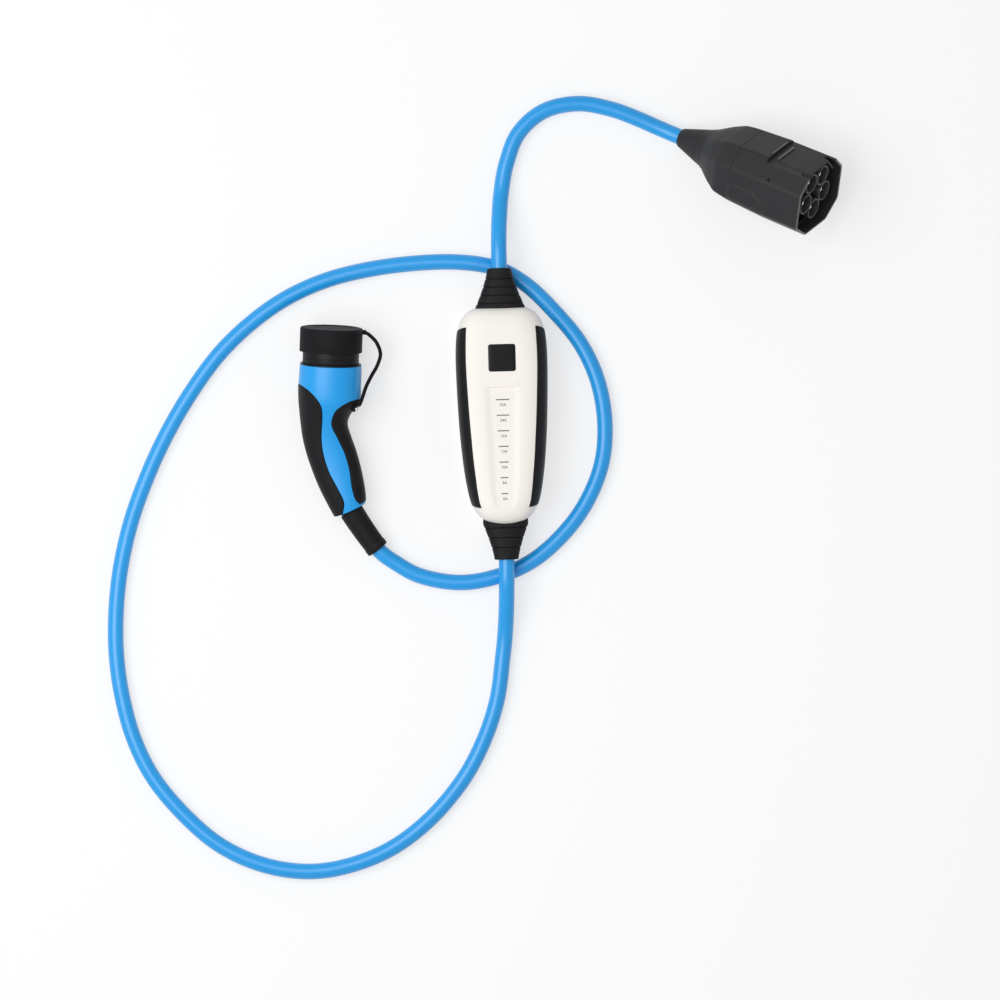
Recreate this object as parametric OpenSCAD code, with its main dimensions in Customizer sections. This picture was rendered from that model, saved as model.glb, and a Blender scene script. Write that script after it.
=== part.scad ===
// Portable charger for an electric car, laid out flat on a floor: a control box between
// a five-pin supply connector on a short cord and a vehicle connector on a long one.
// The origin is under the middle of the control box, on the floor. +Y runs along the box
// toward the supply cord, +Z is up, and all sizes are millimetres.

/* [Control box] */
// Width of the two covers at their widest
box_w = 98; // [94:1:102]
// Length of the two covers
box_l = 236; // [231:1:241]
// Thickness from the back face to the front face
box_t = 62; // [60:1:65]
// Wall of the covers
wall = 2.6; // [2.2:0.1:3]
// Depth that the side grips are let into the covers
grip_depth = 2; // [1.5:0.1:2.2]
// How far the side grips stand proud of the covers
grip_proud = 0.5; // [0.2:0.1:0.8]
// Side of the square badge plate
badge_w = 29.4; // [24:0.2:32]
// Depth of the tapering channel in the front
channel_depth = 1.4; // [0.8:0.1:1.6]
// Length of the boot on the supply side
supply_boot_l = 41.4; // [38:0.1:46]
// Length of the boot on the charge side
charge_boot_l = 37.2; // [34:0.1:42]

/* [Cords] */
// Diameter of both cords
cord_d = 17; // [15.8:0.1:17.4]

/* [Vehicle connector] */
// Radius of the round side of the nose
nose_r = 31; // [30:0.1:31.6]
// Length of the nose in front of the handle
nose_l = 37; // [35:0.5:39]
// Wall of the protective cap
cap_wall = 2.7; // [2.4:0.1:3]
// Clearance between the cap and the nose
cap_gap = 0.3; // [0.25:0.05:0.4]
// Length of the cap
cap_l = 26; // [24:0.5:27.5]
// Depth that the soft grips are let into the handle
handle_grip_depth = 1.6; // [1.2:0.1:2]
// Diameter of the power contacts
power_d = 6; // [5.8:0.1:6.2]
// Diameter of the pilot contacts
pilot_d = 3; // [2.8:0.1:3.2]
// Length of the cord sleeve
sleeve_l = 54; // [49:1:59]

/* [Supply connector] */
// Length from the cord entry to the face
con_l = 176; // [172:1:180]
// Width over the two wings
con_w = 89; // [87:0.5:91]
// Diameter of the circle that the pins stand on
pin_circle = 40; // [39.5:0.1:40.5]
// Diameter of the pins
pin_d = 6; // [5:0.1:7]
// Outer diameter of the insulating tubes
tube_od = 23; // [21:0.1:23.2]
// Inner diameter of the insulating tubes
tube_id = 19.6; // [17:0.1:20]

/* [Hidden] */
$fn = 64;

cream = "#f3eee3";
black = "#26262a";
blue = "#1c97d6";
grey = "#3f3f42";
metal = "#c9ccd0";
brass = "#c7a252";

// Small helpers for points and curves
function mix(a, b, f) = a + (b - a) * f;
function unit(v) = v / norm(v);
function signed_power(v, e) = sign(v) * pow(abs(v), e);

// Point at u on a smooth curve through the points p, one unit of u for each point
function cubic(a, b, c, d, f) =
    0.5 * (2 * b + (c - a) * f + (2 * a - 5 * b + 4 * c - d) * f * f
    + (3 * b - a - 3 * c + d) * f * f * f);
function spline(p, u) =
    let (n = len(p), i = max(0, min(floor(u), n - 2)))
    cubic(p[max(i - 1, 0)], p[i], p[i + 1], p[min(i + 2, n - 1)], u - i);
function closed_spline(p, u) =
    let (n = len(p), i = floor(u))
    cubic(p[(i - 1 + n) % n], p[i % n], p[(i + 1) % n], p[(i + 2) % n], u - i);

// Solid skinned over a row of rings that all have the same number of points, with each
// end closed by a fan. A row of rings that turns back on itself inside gives a cup.
function middle(ring) = [for (p = ring) 1] * ring / len(ring);
module loft(rings) {
    m = len(rings);
    n = len(rings[0]);
    polyhedron(
        points = concat(
            [for (ring = rings) each ring], [middle(rings[0]), middle(rings[m - 1])]),
        faces = concat(
            [for (j = [0 : n - 1]) [m * n, j, (j + 1) % n]],
            [for (i = [0 : m - 2], j = [0 : n - 1])
                let (a = i * n + j, b = i * n + (j + 1) % n)
                each [[a, a + n, b + n], [a, b + n, b]]],
            [for (j = [0 : n - 1]) [m * n + 1, (m - 1) * n + (j + 1) % n, (m - 1) * n + j]]),
        convexity = 6);
}

// Pipe skinned over rings that run out along the outside and back along the bore
module pipe_loft(rings) {
    m = len(rings);
    n = len(rings[0]);
    polyhedron(
        points = [for (ring = rings) each ring],
        faces = [for (i = [0 : m - 1], j = [0 : n - 1])
            let (
                a = i * n + j,
                b = i * n + (j + 1) % n,
                c = ((i + 1) % m) * n + (j + 1) % n,
                d = ((i + 1) % m) * n + j)
            each [[a, d, c], [a, c, b]]],
        convexity = 6);
}

// Solid between two grids of points: an outer skin and the inner skin behind it
module slab(outer, inner) {
    m = len(outer);
    n = len(outer[0]);
    k = m * n;
    edge = concat(
        [for (j = [0 : n - 2]) [j, j + 1]],
        [for (i = [0 : m - 2]) [i * n + n - 1, (i + 1) * n + n - 1]],
        [for (j = [0 : n - 2]) [m * n - 1 - j, m * n - 2 - j]],
        [for (i = [0 : m - 2]) [(m - 1 - i) * n, (m - 2 - i) * n]]);
    polyhedron(
        points = concat([for (row = outer) each row], [for (row = inner) each row]),
        faces = concat(
            [for (i = [0 : m - 2], j = [0 : n - 2])
                let (a = i * n + j)
                each [[a, a + n, a + n + 1], [a, a + n + 1, a + 1]]],
            [for (i = [0 : m - 2], j = [0 : n - 2])
                let (a = k + i * n + j)
                each [[a, a + n + 1, a + n], [a, a + 1, a + n + 1]]],
            [for (e = edge) each [[e[0], e[1], k + e[1]], [e[0], k + e[1], k + e[0]]]]),
        convexity = 6);
}

// Round bar of radius r along a smooth curve through the points
module round_sweep(points, r, sides, steps) {
    last = len(points) - 1;
    function at(u) = spline(points, max(0, min(u, last)));
    rings = [for (s = [0 : steps])
        let (
            u = last * s / steps,
            along = unit(at(u + 0.02) - at(u - 0.02)),
            across = unit(cross(along, [0, 0, 1])),
            up = cross(across, along))
        [for (j = [0 : sides - 1])
            at(u) + r * (cos(360 * j / sides) * up + sin(360 * j / sides) * across)]];
    loft(rings);
}

// Flat shape drawn in X and Z, carried along Y from y0 to y1
module along_y(y0, y1) {
    translate([0, y1, 0]) rotate([90, 0, 0]) linear_extrude(y1 - y0) children();
}

// Cylinder along Y from y0 to y1
module rod_y(r, y0, y1) {
    translate([0, y0, 0]) rotate([-90, 0, 0]) cylinder(r = r, h = y1 - y0);
}

// Shape turned round the Y axis: each profile point is a radius and a place along Y
module turned_y(profile) {
    rotate([-90, 0, 0]) rotate_extrude() polygon(profile);
}

// Control box: its plan outline, from the middle of the supply end down the left side to
// the middle of the charge end, as shares of half the width and half the length
half_outline = [
    [0, 1], [0.37, 0.997], [0.63, 0.979], [0.827, 0.914], [0.949, 0.794], [1, 0.571],
    [0.988, 0.193], [0.939, -0.219], [0.847, -0.579], [0.714, -0.82], [0.49, -0.944],
    [0.245, -0.988], [0, -1]
];
half_count = len(half_outline) - 1;
full_outline = concat(
    [for (p = half_outline) [-p.x, p.y]],
    [for (i = [half_count - 1 : -1 : 1]) half_outline[i]]);
box_y = (charge_boot_l - supply_boot_l) / 2;
grip_from = 4;
grip_to = 9;
crisp = 0.012;
half_steps = concat(
    [for (u = [0 : 0.5 : grip_from - 0.5]) u],
    [grip_from - crisp, grip_from + crisp],
    [for (u = [grip_from + 0.5 : 0.5 : grip_to - 0.5]) u],
    [grip_to - crisp, grip_to + crisp],
    [for (u = [grip_to + 0.5 : 0.5 : half_count]) u]);
box_steps = concat(
    half_steps,
    [for (i = [len(half_steps) - 2 : -1 : 1]) 2 * half_count - half_steps[i]]);

// Section through a side of the box, from the back to the front: how far in from the
// outline, how high, and 1 where the side grip covers it
split_z = 30;
seal_t = 0.8;
band_low = 13;
section_rows = [
    [7, 0, 0], [3.2, 0.9, 0], [1.1, 3, 0], [0.2, 6.5, 0], [0, band_low - 0.1, 0],
    [0, band_low + 0.1, 1], [0, split_z - seal_t / 2, 1], [0, split_z + seal_t / 2, 1],
    [0, split_z + 3, 1],
    [0.5, box_t - 23, 1], [1.9, box_t - 15.5, 1], [4.5, box_t - 9.8, 1],
    [7.6, box_t - 6.2, 1], [10.2, box_t - 4.1, 1], [10.5, box_t - 3.9, 0],
    [14, box_t - 2.2, 0], [19.5, box_t - 0.7, 0], [26, box_t, 0]
];
first_front_row = 7;
last_row = len(section_rows) - 1;

// The front edge of a side grip runs straighter than the outline: how far in it is at
// places down the side, and how far the crown has dropped there
edge_inset = [
    [3.4, 10.3], [4, 7.2], [4.5, 9.8], [5, 10.6], [6, 11.6], [7, 12.5], [8, 12.2], [8.5, 10.5],
    [9, 6.8], [9.6, 10.3]
];
crown_drop = [
    [1.9, 15.5], [4.5, 9.8], [7.6, 6.2], [10.3, 4], [14, 2.2], [19.5, 0.7], [26, 0]
];
edge_row = 13;
edge_half = 0.15;
function row_at(v, i) =
    let (e = lookup(v, edge_inset))
    i < edge_row - 1 || i > edge_row + 1 ? [section_rows[i][0], section_rows[i][1]]
    : let (inset = i < edge_row ? mix(4.5, e, 0.53) : e + (i > edge_row ? 1 : -1) * edge_half)
    [inset, box_t - lookup(inset, crown_drop)];

// The ends of a side grip slant, so places down the side slide along near each end
function near_end(v, mid, low, high) =
    max(0, v < mid ? (v - low) / (mid - low) : (high - v) / (high - mid));
function slide(v, inset) =
    let (g = min(inset, 8) * max(0, min(1, (22 - inset) / 8)))
    v + g * (0.0735 * near_end(v, grip_to, 7.8, 10.8) - 0.076 * near_end(v, grip_from, 2.4, 5.2));

// Section row i moved inward by d
function moved_row(v, i, d) =
    let (
        a = row_at(v, max(i - 1, 0)),
        b = row_at(v, min(i + 1, last_row)),
        run = unit(b - a))
    row_at(v, i) + d * [run[1], -run[0]];
function down_side(u) = u > half_count ? 2 * half_count - u : u;
function box_point(u, i, d) =
    let (
        v = down_side(u),
        slid = slide(v, row_at(v, i)[0]),
        f = closed_spline(full_outline, u > half_count ? 2 * half_count - slid : slid),
        q = moved_row(v, i, d))
    [f.x * (box_w / 2 - q[0]), box_y + f.y * (box_l / 2 - q[0]), q[1]];
function gripped(u, i) =
    let (v = down_side(u)) section_rows[i][2] * (v > grip_from && v < grip_to ? 1 : 0);
function box_ring(i, d) = [for (u = box_steps) box_point(u, i, d + grip_depth * gripped(u, i))];

// Places inside the box
cord_z = 33;
boot_out = [27.2, 14.5];
screw_spots = [[28, 78], [-28, 78], [28, -12], [-28, -12], [19.5, -86], [-19.5, -86]];
board_z = 18;
board_t = 1.6;
board_size = [44, 150];
board_y = -5;
board_spots = [[18, 66], [-18, 66], [18, -76], [-18, -76]];
channel_top = 28;
channel_bottom = -101;
badge_at = [0.5, 60.2];

// Opening for a boot through an end of the covers: the squared oval of the boot's own root
boot_points = 28;
function boot_oval(half) =
    [for (j = [0 : boot_points - 1])
        let (t = 360 * j / boot_points)
        [signed_power(sin(t), 0.8) * half.x, -signed_power(cos(t), 0.8) * half.y]];

boot_play = [0.15, 0.15];
charge_share = 0.9;
module boot_openings() {
    translate([0, 0, cord_z]) {
        along_y(90, 160) polygon(boot_oval(boot_out + boot_play));
        along_y(-160, -95) polygon(boot_oval(boot_out * charge_share + boot_play));
    }
}

module rounded_square(w, r) {
    square([w - 2 * r, w], center = true);
    square([w, w - 2 * r], center = true);
    for (x = [-1, 1], y = [-1, 1]) translate([x, y] * (w / 2 - r)) circle(r);
}

// Tapering channel that the scale sits in: it has sloping sides and a crisp upper end
module channel_cut() {
    over = 1;
    floor_z = box_t - channel_depth;
    wide = [20, 15.3];
    narrow = [12.7, 8];
    rise = over * (wide - narrow) / channel_depth;
    rings = [for (e = [0, 1])
        let (y = e == 0 ? channel_bottom : channel_top, w = wide[1 - e], n = narrow[1 - e])
        [[-n, y, floor_z], [-w - rise[1 - e], y, box_t + over],
         [w + rise[1 - e], y, box_t + over], [n, y, floor_z]]];
    loft(rings);
}

module front_cover() {
    boss_top = box_t - 2.1;
    color(cream) difference() {
        union() {
            loft(concat(
                [for (i = [last_row : -1 : first_front_row]) box_ring(i, wall)],
                [for (i = [first_front_row : last_row]) box_ring(i, 0)]));
            for (p = screw_spots) translate([p.x, p.y, split_z + seal_t / 2])
                cylinder(r = 4.5, h = boss_top - split_z - seal_t / 2);
        }
        for (p = screw_spots) translate([p.x, p.y, split_z]) cylinder(r = 1.8, h = 14);
        boot_openings();
        channel_cut();
        translate([badge_at.x, badge_at.y, box_t - 1.2])
            linear_extrude(3) rounded_square(badge_w + 0.2, 2.8);
    }
}

module rear_cover() {
    color(cream) difference() {
        union() {
            loft(concat(
                [for (i = [0 : first_front_row - 1]) box_ring(i, 0)],
                [for (i = [first_front_row - 1 : -1 : 0]) box_ring(i, wall)]));
            for (p = screw_spots) translate([p.x, p.y, wall / 2])
                cylinder(r = 5.5, h = split_z - seal_t / 2 - wall / 2);
            for (p = board_spots) translate([p.x, p.y, wall / 2])
                cylinder(r = 3.2, h = board_z - wall / 2);
        }
        for (p = screw_spots) translate([p.x, p.y, -1]) {
            cylinder(r = 2.1, h = 40);
            cylinder(r = 3.9, h = 7);
        }
        for (p = board_spots) translate([p.x, p.y, board_z - 8]) cylinder(r = 1.3, h = 10);
        boot_openings();
    }
}

// Flat gasket clamped between the rims of the two covers
module housing_seal() {
    inset = 0.6;
    low = split_z - seal_t / 2;
    high = split_z + seal_t / 2;
    function flat_ring(d, z) =
        [for (p = box_ring(first_front_row - 1, d)) [p.x, p.y, z]];
    color(black) difference() {
        loft([
            flat_ring(wall - inset, low), flat_ring(inset, low),
            flat_ring(inset, high), flat_ring(wall - inset, high)]);
        loft([flat_ring(wall - inset, low - 1), flat_ring(wall - inset, high + 1)]);
        boot_openings();
    }
}

// Soft grip let into one long side of the box
module side_grip(steps) {
    rows = [for (i = [0 : last_row]) if (section_rows[i][2] == 1) i];
    slab(
        [for (i = rows) [for (u = steps) box_point(u, i, -grip_proud)]],
        [for (i = rows) [for (u = steps) box_point(u, i, grip_depth)]]);
}
grip_steps = [for (u = half_steps) if (u > grip_from && u < grip_to) u];

module left_grip() {
    color(black) side_grip(grip_steps);
}

module right_grip() {
    last = len(grip_steps) - 1;
    color(black) side_grip([for (i = [last : -1 : 0]) 2 * half_count - grip_steps[i]]);
}

module badge_plate() {
    color(black) translate([badge_at.x, badge_at.y, box_t - 1.2])
        linear_extrude(1.4) rounded_square(badge_w, 2.7);
}

// Clear strip behind the channel that carries light to the scale
module light_guide() {
    color("white") translate([-6, channel_bottom + 11, box_t - wall - 3])
        cube([12, channel_top - channel_bottom - 15, 3]);
}

module circuit_board() {
    color("#2f6b46") difference() {
        translate([-board_size.x / 2, board_y - board_size.y / 2, board_z])
            cube([board_size.x, board_size.y, board_t]);
        for (p = board_spots) translate([p.x, p.y, board_z - 1]) cylinder(r = 1.6, h = 4);
    }
}

module board_screws() {
    color(metal) for (p = board_spots) translate([p.x, p.y, board_z + board_t]) {
        cylinder(r = 2.6, h = 1.8);
        translate([0, 0, -8]) cylinder(r = 1.25, h = 8.5);
    }
}

// Four relays, one for each of the three phases and one for the neutral
module power_relays() {
    color("#39424e") for (i = [-1, 1], y = [26, -8])
        translate([i * 11 - 9, y - 15, board_z + board_t]) cube([18, 30, 22]);
}

// Ring core that the live conductors pass through, to find leakage to earth
module current_sensor() {
    color("#d8d2c2") translate([0, -40, board_z + board_t]) difference() {
        cylinder(r = 15, h = 14);
        translate([0, 0, -1]) cylinder(r = 9, h = 16);
    }
}

lead_pitch = 5.5;
block_spots = [55, -65];
module terminal_blocks() {
    color("#8d9299") for (y = block_spots) difference() {
        translate([-18, y - 7, board_z + board_t]) cube([36, 14, 17]);
        for (i = [-2 : 2]) translate([i * lead_pitch, 0, board_z + board_t + 9])
            rod_y(2.4, y - 8, y + 8);
    }
}

// Five cores of a cord, from the end of its sheath to the terminals
module cord_leads(y0, y1) {
    for (i = [-2 : 2]) translate([i * lead_pitch, 0, board_z + board_t + 9])
        rod_y(2.2, y0, y1);
}

module supply_leads() {
    color("#7a4a2a") cord_leads(block_spots[0] - 5, 92);
}

module charge_leads() {
    color("#7a4a2a") cord_leads(-96, block_spots[1] + 5);
}

module cover_screws() {
    color(metal) for (p = screw_spots) translate([p.x, p.y, 0]) {
        translate([0, 0, 3.2]) cylinder(r = 3.6, h = 2.8);
        translate([0, 0, 5]) cylinder(r = 1.75, h = split_z + 9);
    }
}

// Ribbed boot from an end of the box to its tip, narrowing in width and in height. The
// root ends in a flange inside the covers. end is 1 for the supply side, -1 for the other.
module boot(end, y0, y1, scale_out, ribs) {
    tip = [13, 12.4];
    groove = 0.7;
    function half_size(f) =
        let (g = 1 - pow(1 - f, 1.35)) mix(boot_out * scale_out, tip, g);
    function boot_ring(y, f, less) =
        [for (p = boot_oval(half_size(f) - [less, less])) [end * p.x, y, cord_z + p.y]];
    pitch = 0.82 / ribs;
    rib_rows = [for (k = [0 : ribs - 1]) each
        let (f = 0.1 + k * pitch)
        [[f, 0], [f + 0.015, groove], [f + 0.04, groove], [f + 0.055, 0]]];
    rows = concat([[0, 0]], rib_rows, [[0.97, 0], [1, 0.6]]);
    difference() {
        loft(concat(
            [boot_ring(y0 - end * 8, 0, 0.2)],
            [for (row = rows) boot_ring(mix(y0, y1, row[0]), row[0], row[1])]));
        translate([0, 0, cord_z]) rod_y(cord_d / 2 + 0.3, -200, 200);
    }
}

supply_end_y = box_y + box_l / 2;
charge_end_y = box_y - box_l / 2;
supply_tip_y = supply_end_y + supply_boot_l;
charge_tip_y = charge_end_y - charge_boot_l;

module supply_boot() {
    color(black) boot(1, supply_end_y - 1.5, supply_tip_y, 1, 4);
}

module charge_boot() {
    color(black) boot(-1, charge_end_y + 1.5, charge_tip_y, charge_share, 3);
}

// Vehicle connector: it lies on its side, on the round of the handle and on its tail. Its
// own Y runs along the nose, with 0 just behind the collar, and X points to the finger side.
gun_at = [-184.5, 55.5, 36.25];
gun_turn = 3.5;
gun_tilt = 6.8;
module at_gun() {
    translate(gun_at) rotate([0, 0, -gun_turn]) rotate([gun_tilt, 0, 0]) children();
}
function from_gun(p) =
    let (
        y = p.y * cos(gun_tilt) - p.z * sin(gun_tilt),
        z = p.y * sin(gun_tilt) + p.z * cos(gun_tilt))
    gun_at + [
        p.x * cos(gun_turn) + y * sin(gun_turn), y * cos(gun_turn) - p.x * sin(gun_turn), z];

handle_front = 2.5;

// Sections down the handle: the spine point, the finger point, half the thickness, and
// the shares of the way across where the spine grip ends and the finger grip starts
handle_sections = [
    [-33.4, handle_front, 33.4, handle_front, 33.4, 0.03, 0.97],
    [-34, -18, 33.6, -18, 33.6, 0.03, 0.97],
    [-33.3, -36, 33, -36.5, 32, 0.34, 0.78],
    [-31.7, -50, 23.4, -49.5, 27, 0.456, 0.664],
    [-30, -62.5, 20, -61, 23.5, 0.43, 0.66],
    [-27.3, -78, 24.6, -75.5, 21, 0.35, 0.74],
    [-22.4, -95.5, 30.6, -91, 19.6, 0.31, 0.775],
    [-15.2, -114.5, 36, -108.5, 19, 0.295, 0.77],
    [-6.9, -133, 40, -125.5, 19, 0.366, 0.729],
    [2.7, -150.5, 42.2, -138.5, 18.4, 0.4, 0.74],
    [9.8, -162.5, 42.5, -146.5, 17, 0.3, 0.9]
];
handle_square = 2.2;
spine_range = [1.05, 9.88];
finger_range = [2.2, 9.6];
handle_crisp = 0.02;
handle_grip_proud = 0.5;

// Angle round a section, from the spine, at a share t of the way across
function across_angle(t) = acos(signed_power(1 - 2 * t, handle_square / 2));
// Point of the section at u, at angle a from the spine, moved inward by d
function handle_point(u, a, d) =
    let (
        s = spline(handle_sections, u),
        spine = [s[0], s[1], 0],
        finger = [s[2], s[3], 0],
        half = norm(finger - spine) / 2,
        along = unit(finger - spine),
        c = signed_power(cos(a), 2 / handle_square),
        z = signed_power(sin(a), 2 / handle_square))
    (spine + finger) / 2 - along * (half - d) * c + [0, 0, (s[4] - d) * z];
// Angles of the grip edges on the section at u
function grip_angles(u) =
    let (s = spline(handle_sections, u)) [across_angle(s[5]), across_angle(s[6])];
function spread(a, b, n) = [for (k = [0 : n]) mix(a, b, k / n)];
edge_gap = 0.5;
spine_cells = 8;
side_cells = 5;
finger_cells = 6;
function spine_angles(u) = let (g = grip_angles(u)[0] - edge_gap) spread(-g, g, spine_cells);
function finger_angles(u) =
    let (g = grip_angles(u)[1] + edge_gap) spread(g, 360 - g, finger_cells);
function within(u, range) = u > range[0] && u < range[1] ? 1 : 0;
function handle_ring(u) =
    let (
        g = grip_angles(u),
        dent = handle_grip_depth * [within(u, spine_range), within(u, finger_range)],
        a = g[0] + edge_gap,
        b = g[1] - edge_gap)
    concat(
        [for (t = spine_angles(u)) handle_point(u, t, dent[0])],
        [for (t = spread(a, b, side_cells)) handle_point(u, t, 0)],
        [for (t = finger_angles(u)) handle_point(u, t, dent[1])],
        [for (t = spread(360 - b, 360 - a, side_cells)) handle_point(u, t, 0)]);
function crisp_pair(v) = [v - handle_crisp, v + handle_crisp];
handle_steps = concat(
    [0, 0.5], crisp_pair(spine_range[0]), [1.4, 1.8], crisp_pair(finger_range[0]),
    [for (u = [2.6 : 0.4 : 9.4]) u], crisp_pair(finger_range[1]), crisp_pair(spine_range[1]),
    [10]);

// Nose shape: a circle with one flat side, toward the spine
nose_shift = -0.6;
nose_flat = nose_r - 0.9;
module nose_shape(grow) {
    r = nose_r + grow;
    translate([nose_shift, 0]) intersection() {
        circle(r);
        translate([-nose_flat - grow, -r]) square([nose_flat + grow + r, 2 * r]);
    }
}
shank_less = 2.5;
shank_l = 34;
collar_l = 1.5;
nose_from = handle_front + collar_l;
nose_tip = handle_front + nose_l;

// Cord sleeve at the tail of the handle: it leaves along the handle and bends with the
// cord toward the finger side
sleeve_root = [25.6, -153, 0];
sleeve_turn = [33, 40];
sleeve_spigot = 15;
function sleeve_angle(s) = mix(sleeve_turn[0], sleeve_turn[1], max(s, 0) / sleeve_l);
function sleeve_point(s) =
    let (
        start = sleeve_turn[0],
        now = sleeve_angle(s),
        bend_r = sleeve_l / (sleeve_turn[1] - sleeve_turn[0]) * 180 / PI)
    sleeve_root + (s < 0 ? s * [sin(start), -cos(start), 0]
        : bend_r * [cos(start) - cos(now), sin(start) - sin(now), 0]);
function sleeve_ring(s, r) =
    let (t = sleeve_angle(s), sides = 18)
    [for (j = [0 : sides - 1])
        let (a = 360 * j / sides)
        sleeve_point(s) + r * [cos(t) * cos(a), sin(t) * cos(a), -sin(a)]];
module at_sleeve() {
    translate(sleeve_root) rotate([0, 0, sleeve_turn[0] + 180]) children();
}
function from_sleeve(s) = from_gun(sleeve_point(s));

// Screw that holds the strap on the finger side of the handle
strap_screw_at = [28, -41, 15.3];
strap_screw_lean = 69;
strap_screw_swing = -39;
module at_strap_screw() {
    translate(strap_screw_at) rotate([0, strap_screw_lean, strap_screw_swing]) children();
}
strap_screw_axis = [
    sin(strap_screw_lean) * cos(strap_screw_swing), sin(strap_screw_lean) * sin(strap_screw_swing),
    cos(strap_screw_lean)];

module handle_body() {
    color(blue) at_gun() difference() {
        loft([for (u = handle_steps) handle_ring(u)]);
        along_y(-shank_l, handle_front + 1) nose_shape(-shank_less);
        at_sleeve() rod_y(cord_d / 2 + 3.1, -sleeve_spigot, 20);
        at_strap_screw() translate([0, 0, -9]) cylinder(r = 1.7, h = 14);
    }
}

module spine_grip() {
    steps = [for (u = handle_steps) if (within(u, spine_range) == 1) u];
    color(black) at_gun() slab(
        [for (u = steps) [for (t = spine_angles(u)) handle_point(u, t, -handle_grip_proud)]],
        [for (u = steps) [for (t = spine_angles(u)) handle_point(u, t, handle_grip_depth)]]);
}

module finger_grip() {
    steps = [for (u = handle_steps) if (within(u, finger_range) == 1) u];
    color(black) at_gun() difference() {
        slab(
            [for (u = steps)
                [for (t = finger_angles(u)) handle_point(u, t, -handle_grip_proud)]],
            [for (u = steps)
                [for (t = finger_angles(u)) handle_point(u, t, handle_grip_depth)]]);
        at_strap_screw() translate([0, 0, -9]) cylinder(r = 1.7, h = 14);
    }
}

// Thin collar between the handle and the nose
module nose_collar() {
    color(black) at_gun() difference() {
        rod_y(33, handle_front, nose_from);
        along_y(-1, nose_from + 1) nose_shape(-shank_less);
    }
}

// Contact places on the face of the nose, across it and toward the spine
power_spots = [[0, 0], [-17.5, 0], [17.5, 0], [-8.9, -15.6], [8.9, -15.6]];
pilot_spots = [[-9.2, 13.4], [9.2, 13.4]];
socket_wall = 1.4;
socket_back = -20;
socket_set_in = 6;
module at_contacts(spots) {
    for (p = spots) translate([-p.y, 0, p.x]) children();
}

module contact_carrier() {
    color(black) at_gun() difference() {
        union() {
            along_y(-shank_l, nose_from) nose_shape(-shank_less);
            along_y(nose_from, nose_tip) nose_shape(0);
        }
        at_contacts(power_spots) {
            rod_y(power_d / 2 + socket_wall, socket_back, nose_tip - socket_set_in);
            rod_y(power_d / 2 + 0.3, 0, nose_tip + 1);
        }
        at_contacts(pilot_spots) {
            rod_y(pilot_d / 2 + socket_wall, socket_back, nose_tip - socket_set_in);
            rod_y(pilot_d / 2 + 0.3, 0, nose_tip + 1);
        }
    }
}

module sockets(spots, d) {
    at_contacts(spots) difference() {
        rod_y(d / 2 + socket_wall, socket_back, nose_tip - socket_set_in);
        rod_y(d / 2, socket_back + 8, nose_tip);
    }
}

module power_sockets() {
    color(brass) at_gun() sockets(power_spots, power_d);
}

module pilot_sockets() {
    color(brass) at_gun() sockets(pilot_spots, pilot_d);
}

// Cap that pushes over the nose, with a thumb rib on its flat side
cap_front = nose_tip + 0.5 + cap_wall;
module protective_cap() {
    color(black) at_gun() difference() {
        union() {
            along_y(cap_front - cap_l, cap_front) nose_shape(cap_gap + cap_wall);
            along_y(cap_front - cap_l, cap_front)
                translate([nose_shift - nose_flat - cap_gap - cap_wall - 0.6, -9])
                square([3, 18]);
        }
        along_y(cap_front - cap_l - 1, nose_tip + 0.5) nose_shape(cap_gap);
    }
}

// Strap from the front of the cap to an eye under its screw on the handle
strap_r = 2;
strap_start = [nose_shift + nose_r + cap_gap + cap_wall + 0.3 + strap_r, cap_front - 4, 0];
strap_route = [
    strap_start, strap_start + [5, -3.2, -4], [48.5, 27, -9.5], [53, 14, -16], [51.4, -1, -14],
    [47.4, -8.5, -9], [43, -14.5, -3], [38.6, -21, 5], [36.6, -29, 11],
    strap_screw_at + (strap_r + 0.2) * strap_screw_axis + [3.1, 3.4, -0.7]
];
eye_r = 5.4;
eye_t = 2.6;
module cap_strap() {
    color(black) at_gun() {
        difference() {
            union() {
                round_sweep(strap_route, strap_r, 10, 26);
                at_strap_screw() cylinder(r = eye_r, h = eye_t);
            }
            at_strap_screw() translate([0, 0, -5]) cylinder(r = 1.8, h = 12);
        }
    }
}

module strap_screw() {
    color(metal) at_gun() at_strap_screw() {
        translate([0, 0, -8]) cylinder(r = 1.6, h = 8 + eye_t);
        translate([0, 0, eye_t]) cylinder(r = 3.4, h = 1.8);
    }
}

module cord_sleeve() {
    r = cord_d / 2;
    bore = r + 0.4;
    outside = [
        [1 - sleeve_spigot, r + 3], [3.4, r + 3], [3.5, r + 4.5], [9, r + 4.4],
        [sleeve_l * 0.36, r + 4.1], [sleeve_l * 0.6, r + 3.8], [sleeve_l - 7, r + 3.5],
        [sleeve_l - 6.5, r + 3.9], [sleeve_l - 1, r + 3.9], [sleeve_l, r + 3]];
    color(black) at_gun() pipe_loft(concat(
        [for (row = outside) sleeve_ring(row[0], row[1])],
        [for (f = [1 : -0.2 : 0]) sleeve_ring(sleeve_l * f, bore)],
        [sleeve_ring(1 - sleeve_spigot, bore)]));
}

// Supply connector: its own X runs from the cord entry to the face, its own Z points to
// the flat key side, and it rests on its cord and on the back corner of one wing
con_turn = -25;
con_tilt = 24;
con_roll = -53;
knee = 66;
boot_end_r = 22;
con_at = [200.3, 294.3, 14.6];
module at_con() {
    translate(con_at) rotate([0, 0, con_turn]) rotate([0, -con_tilt, 0]) rotate([con_roll, 0, 0])
        children();
}
// Point on the connector's own axis, at a from the cord entry
function on_con_axis(a) =
    con_at + a * [
        cos(con_tilt) * cos(con_turn), cos(con_tilt) * sin(con_turn), sin(con_tilt)];

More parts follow.
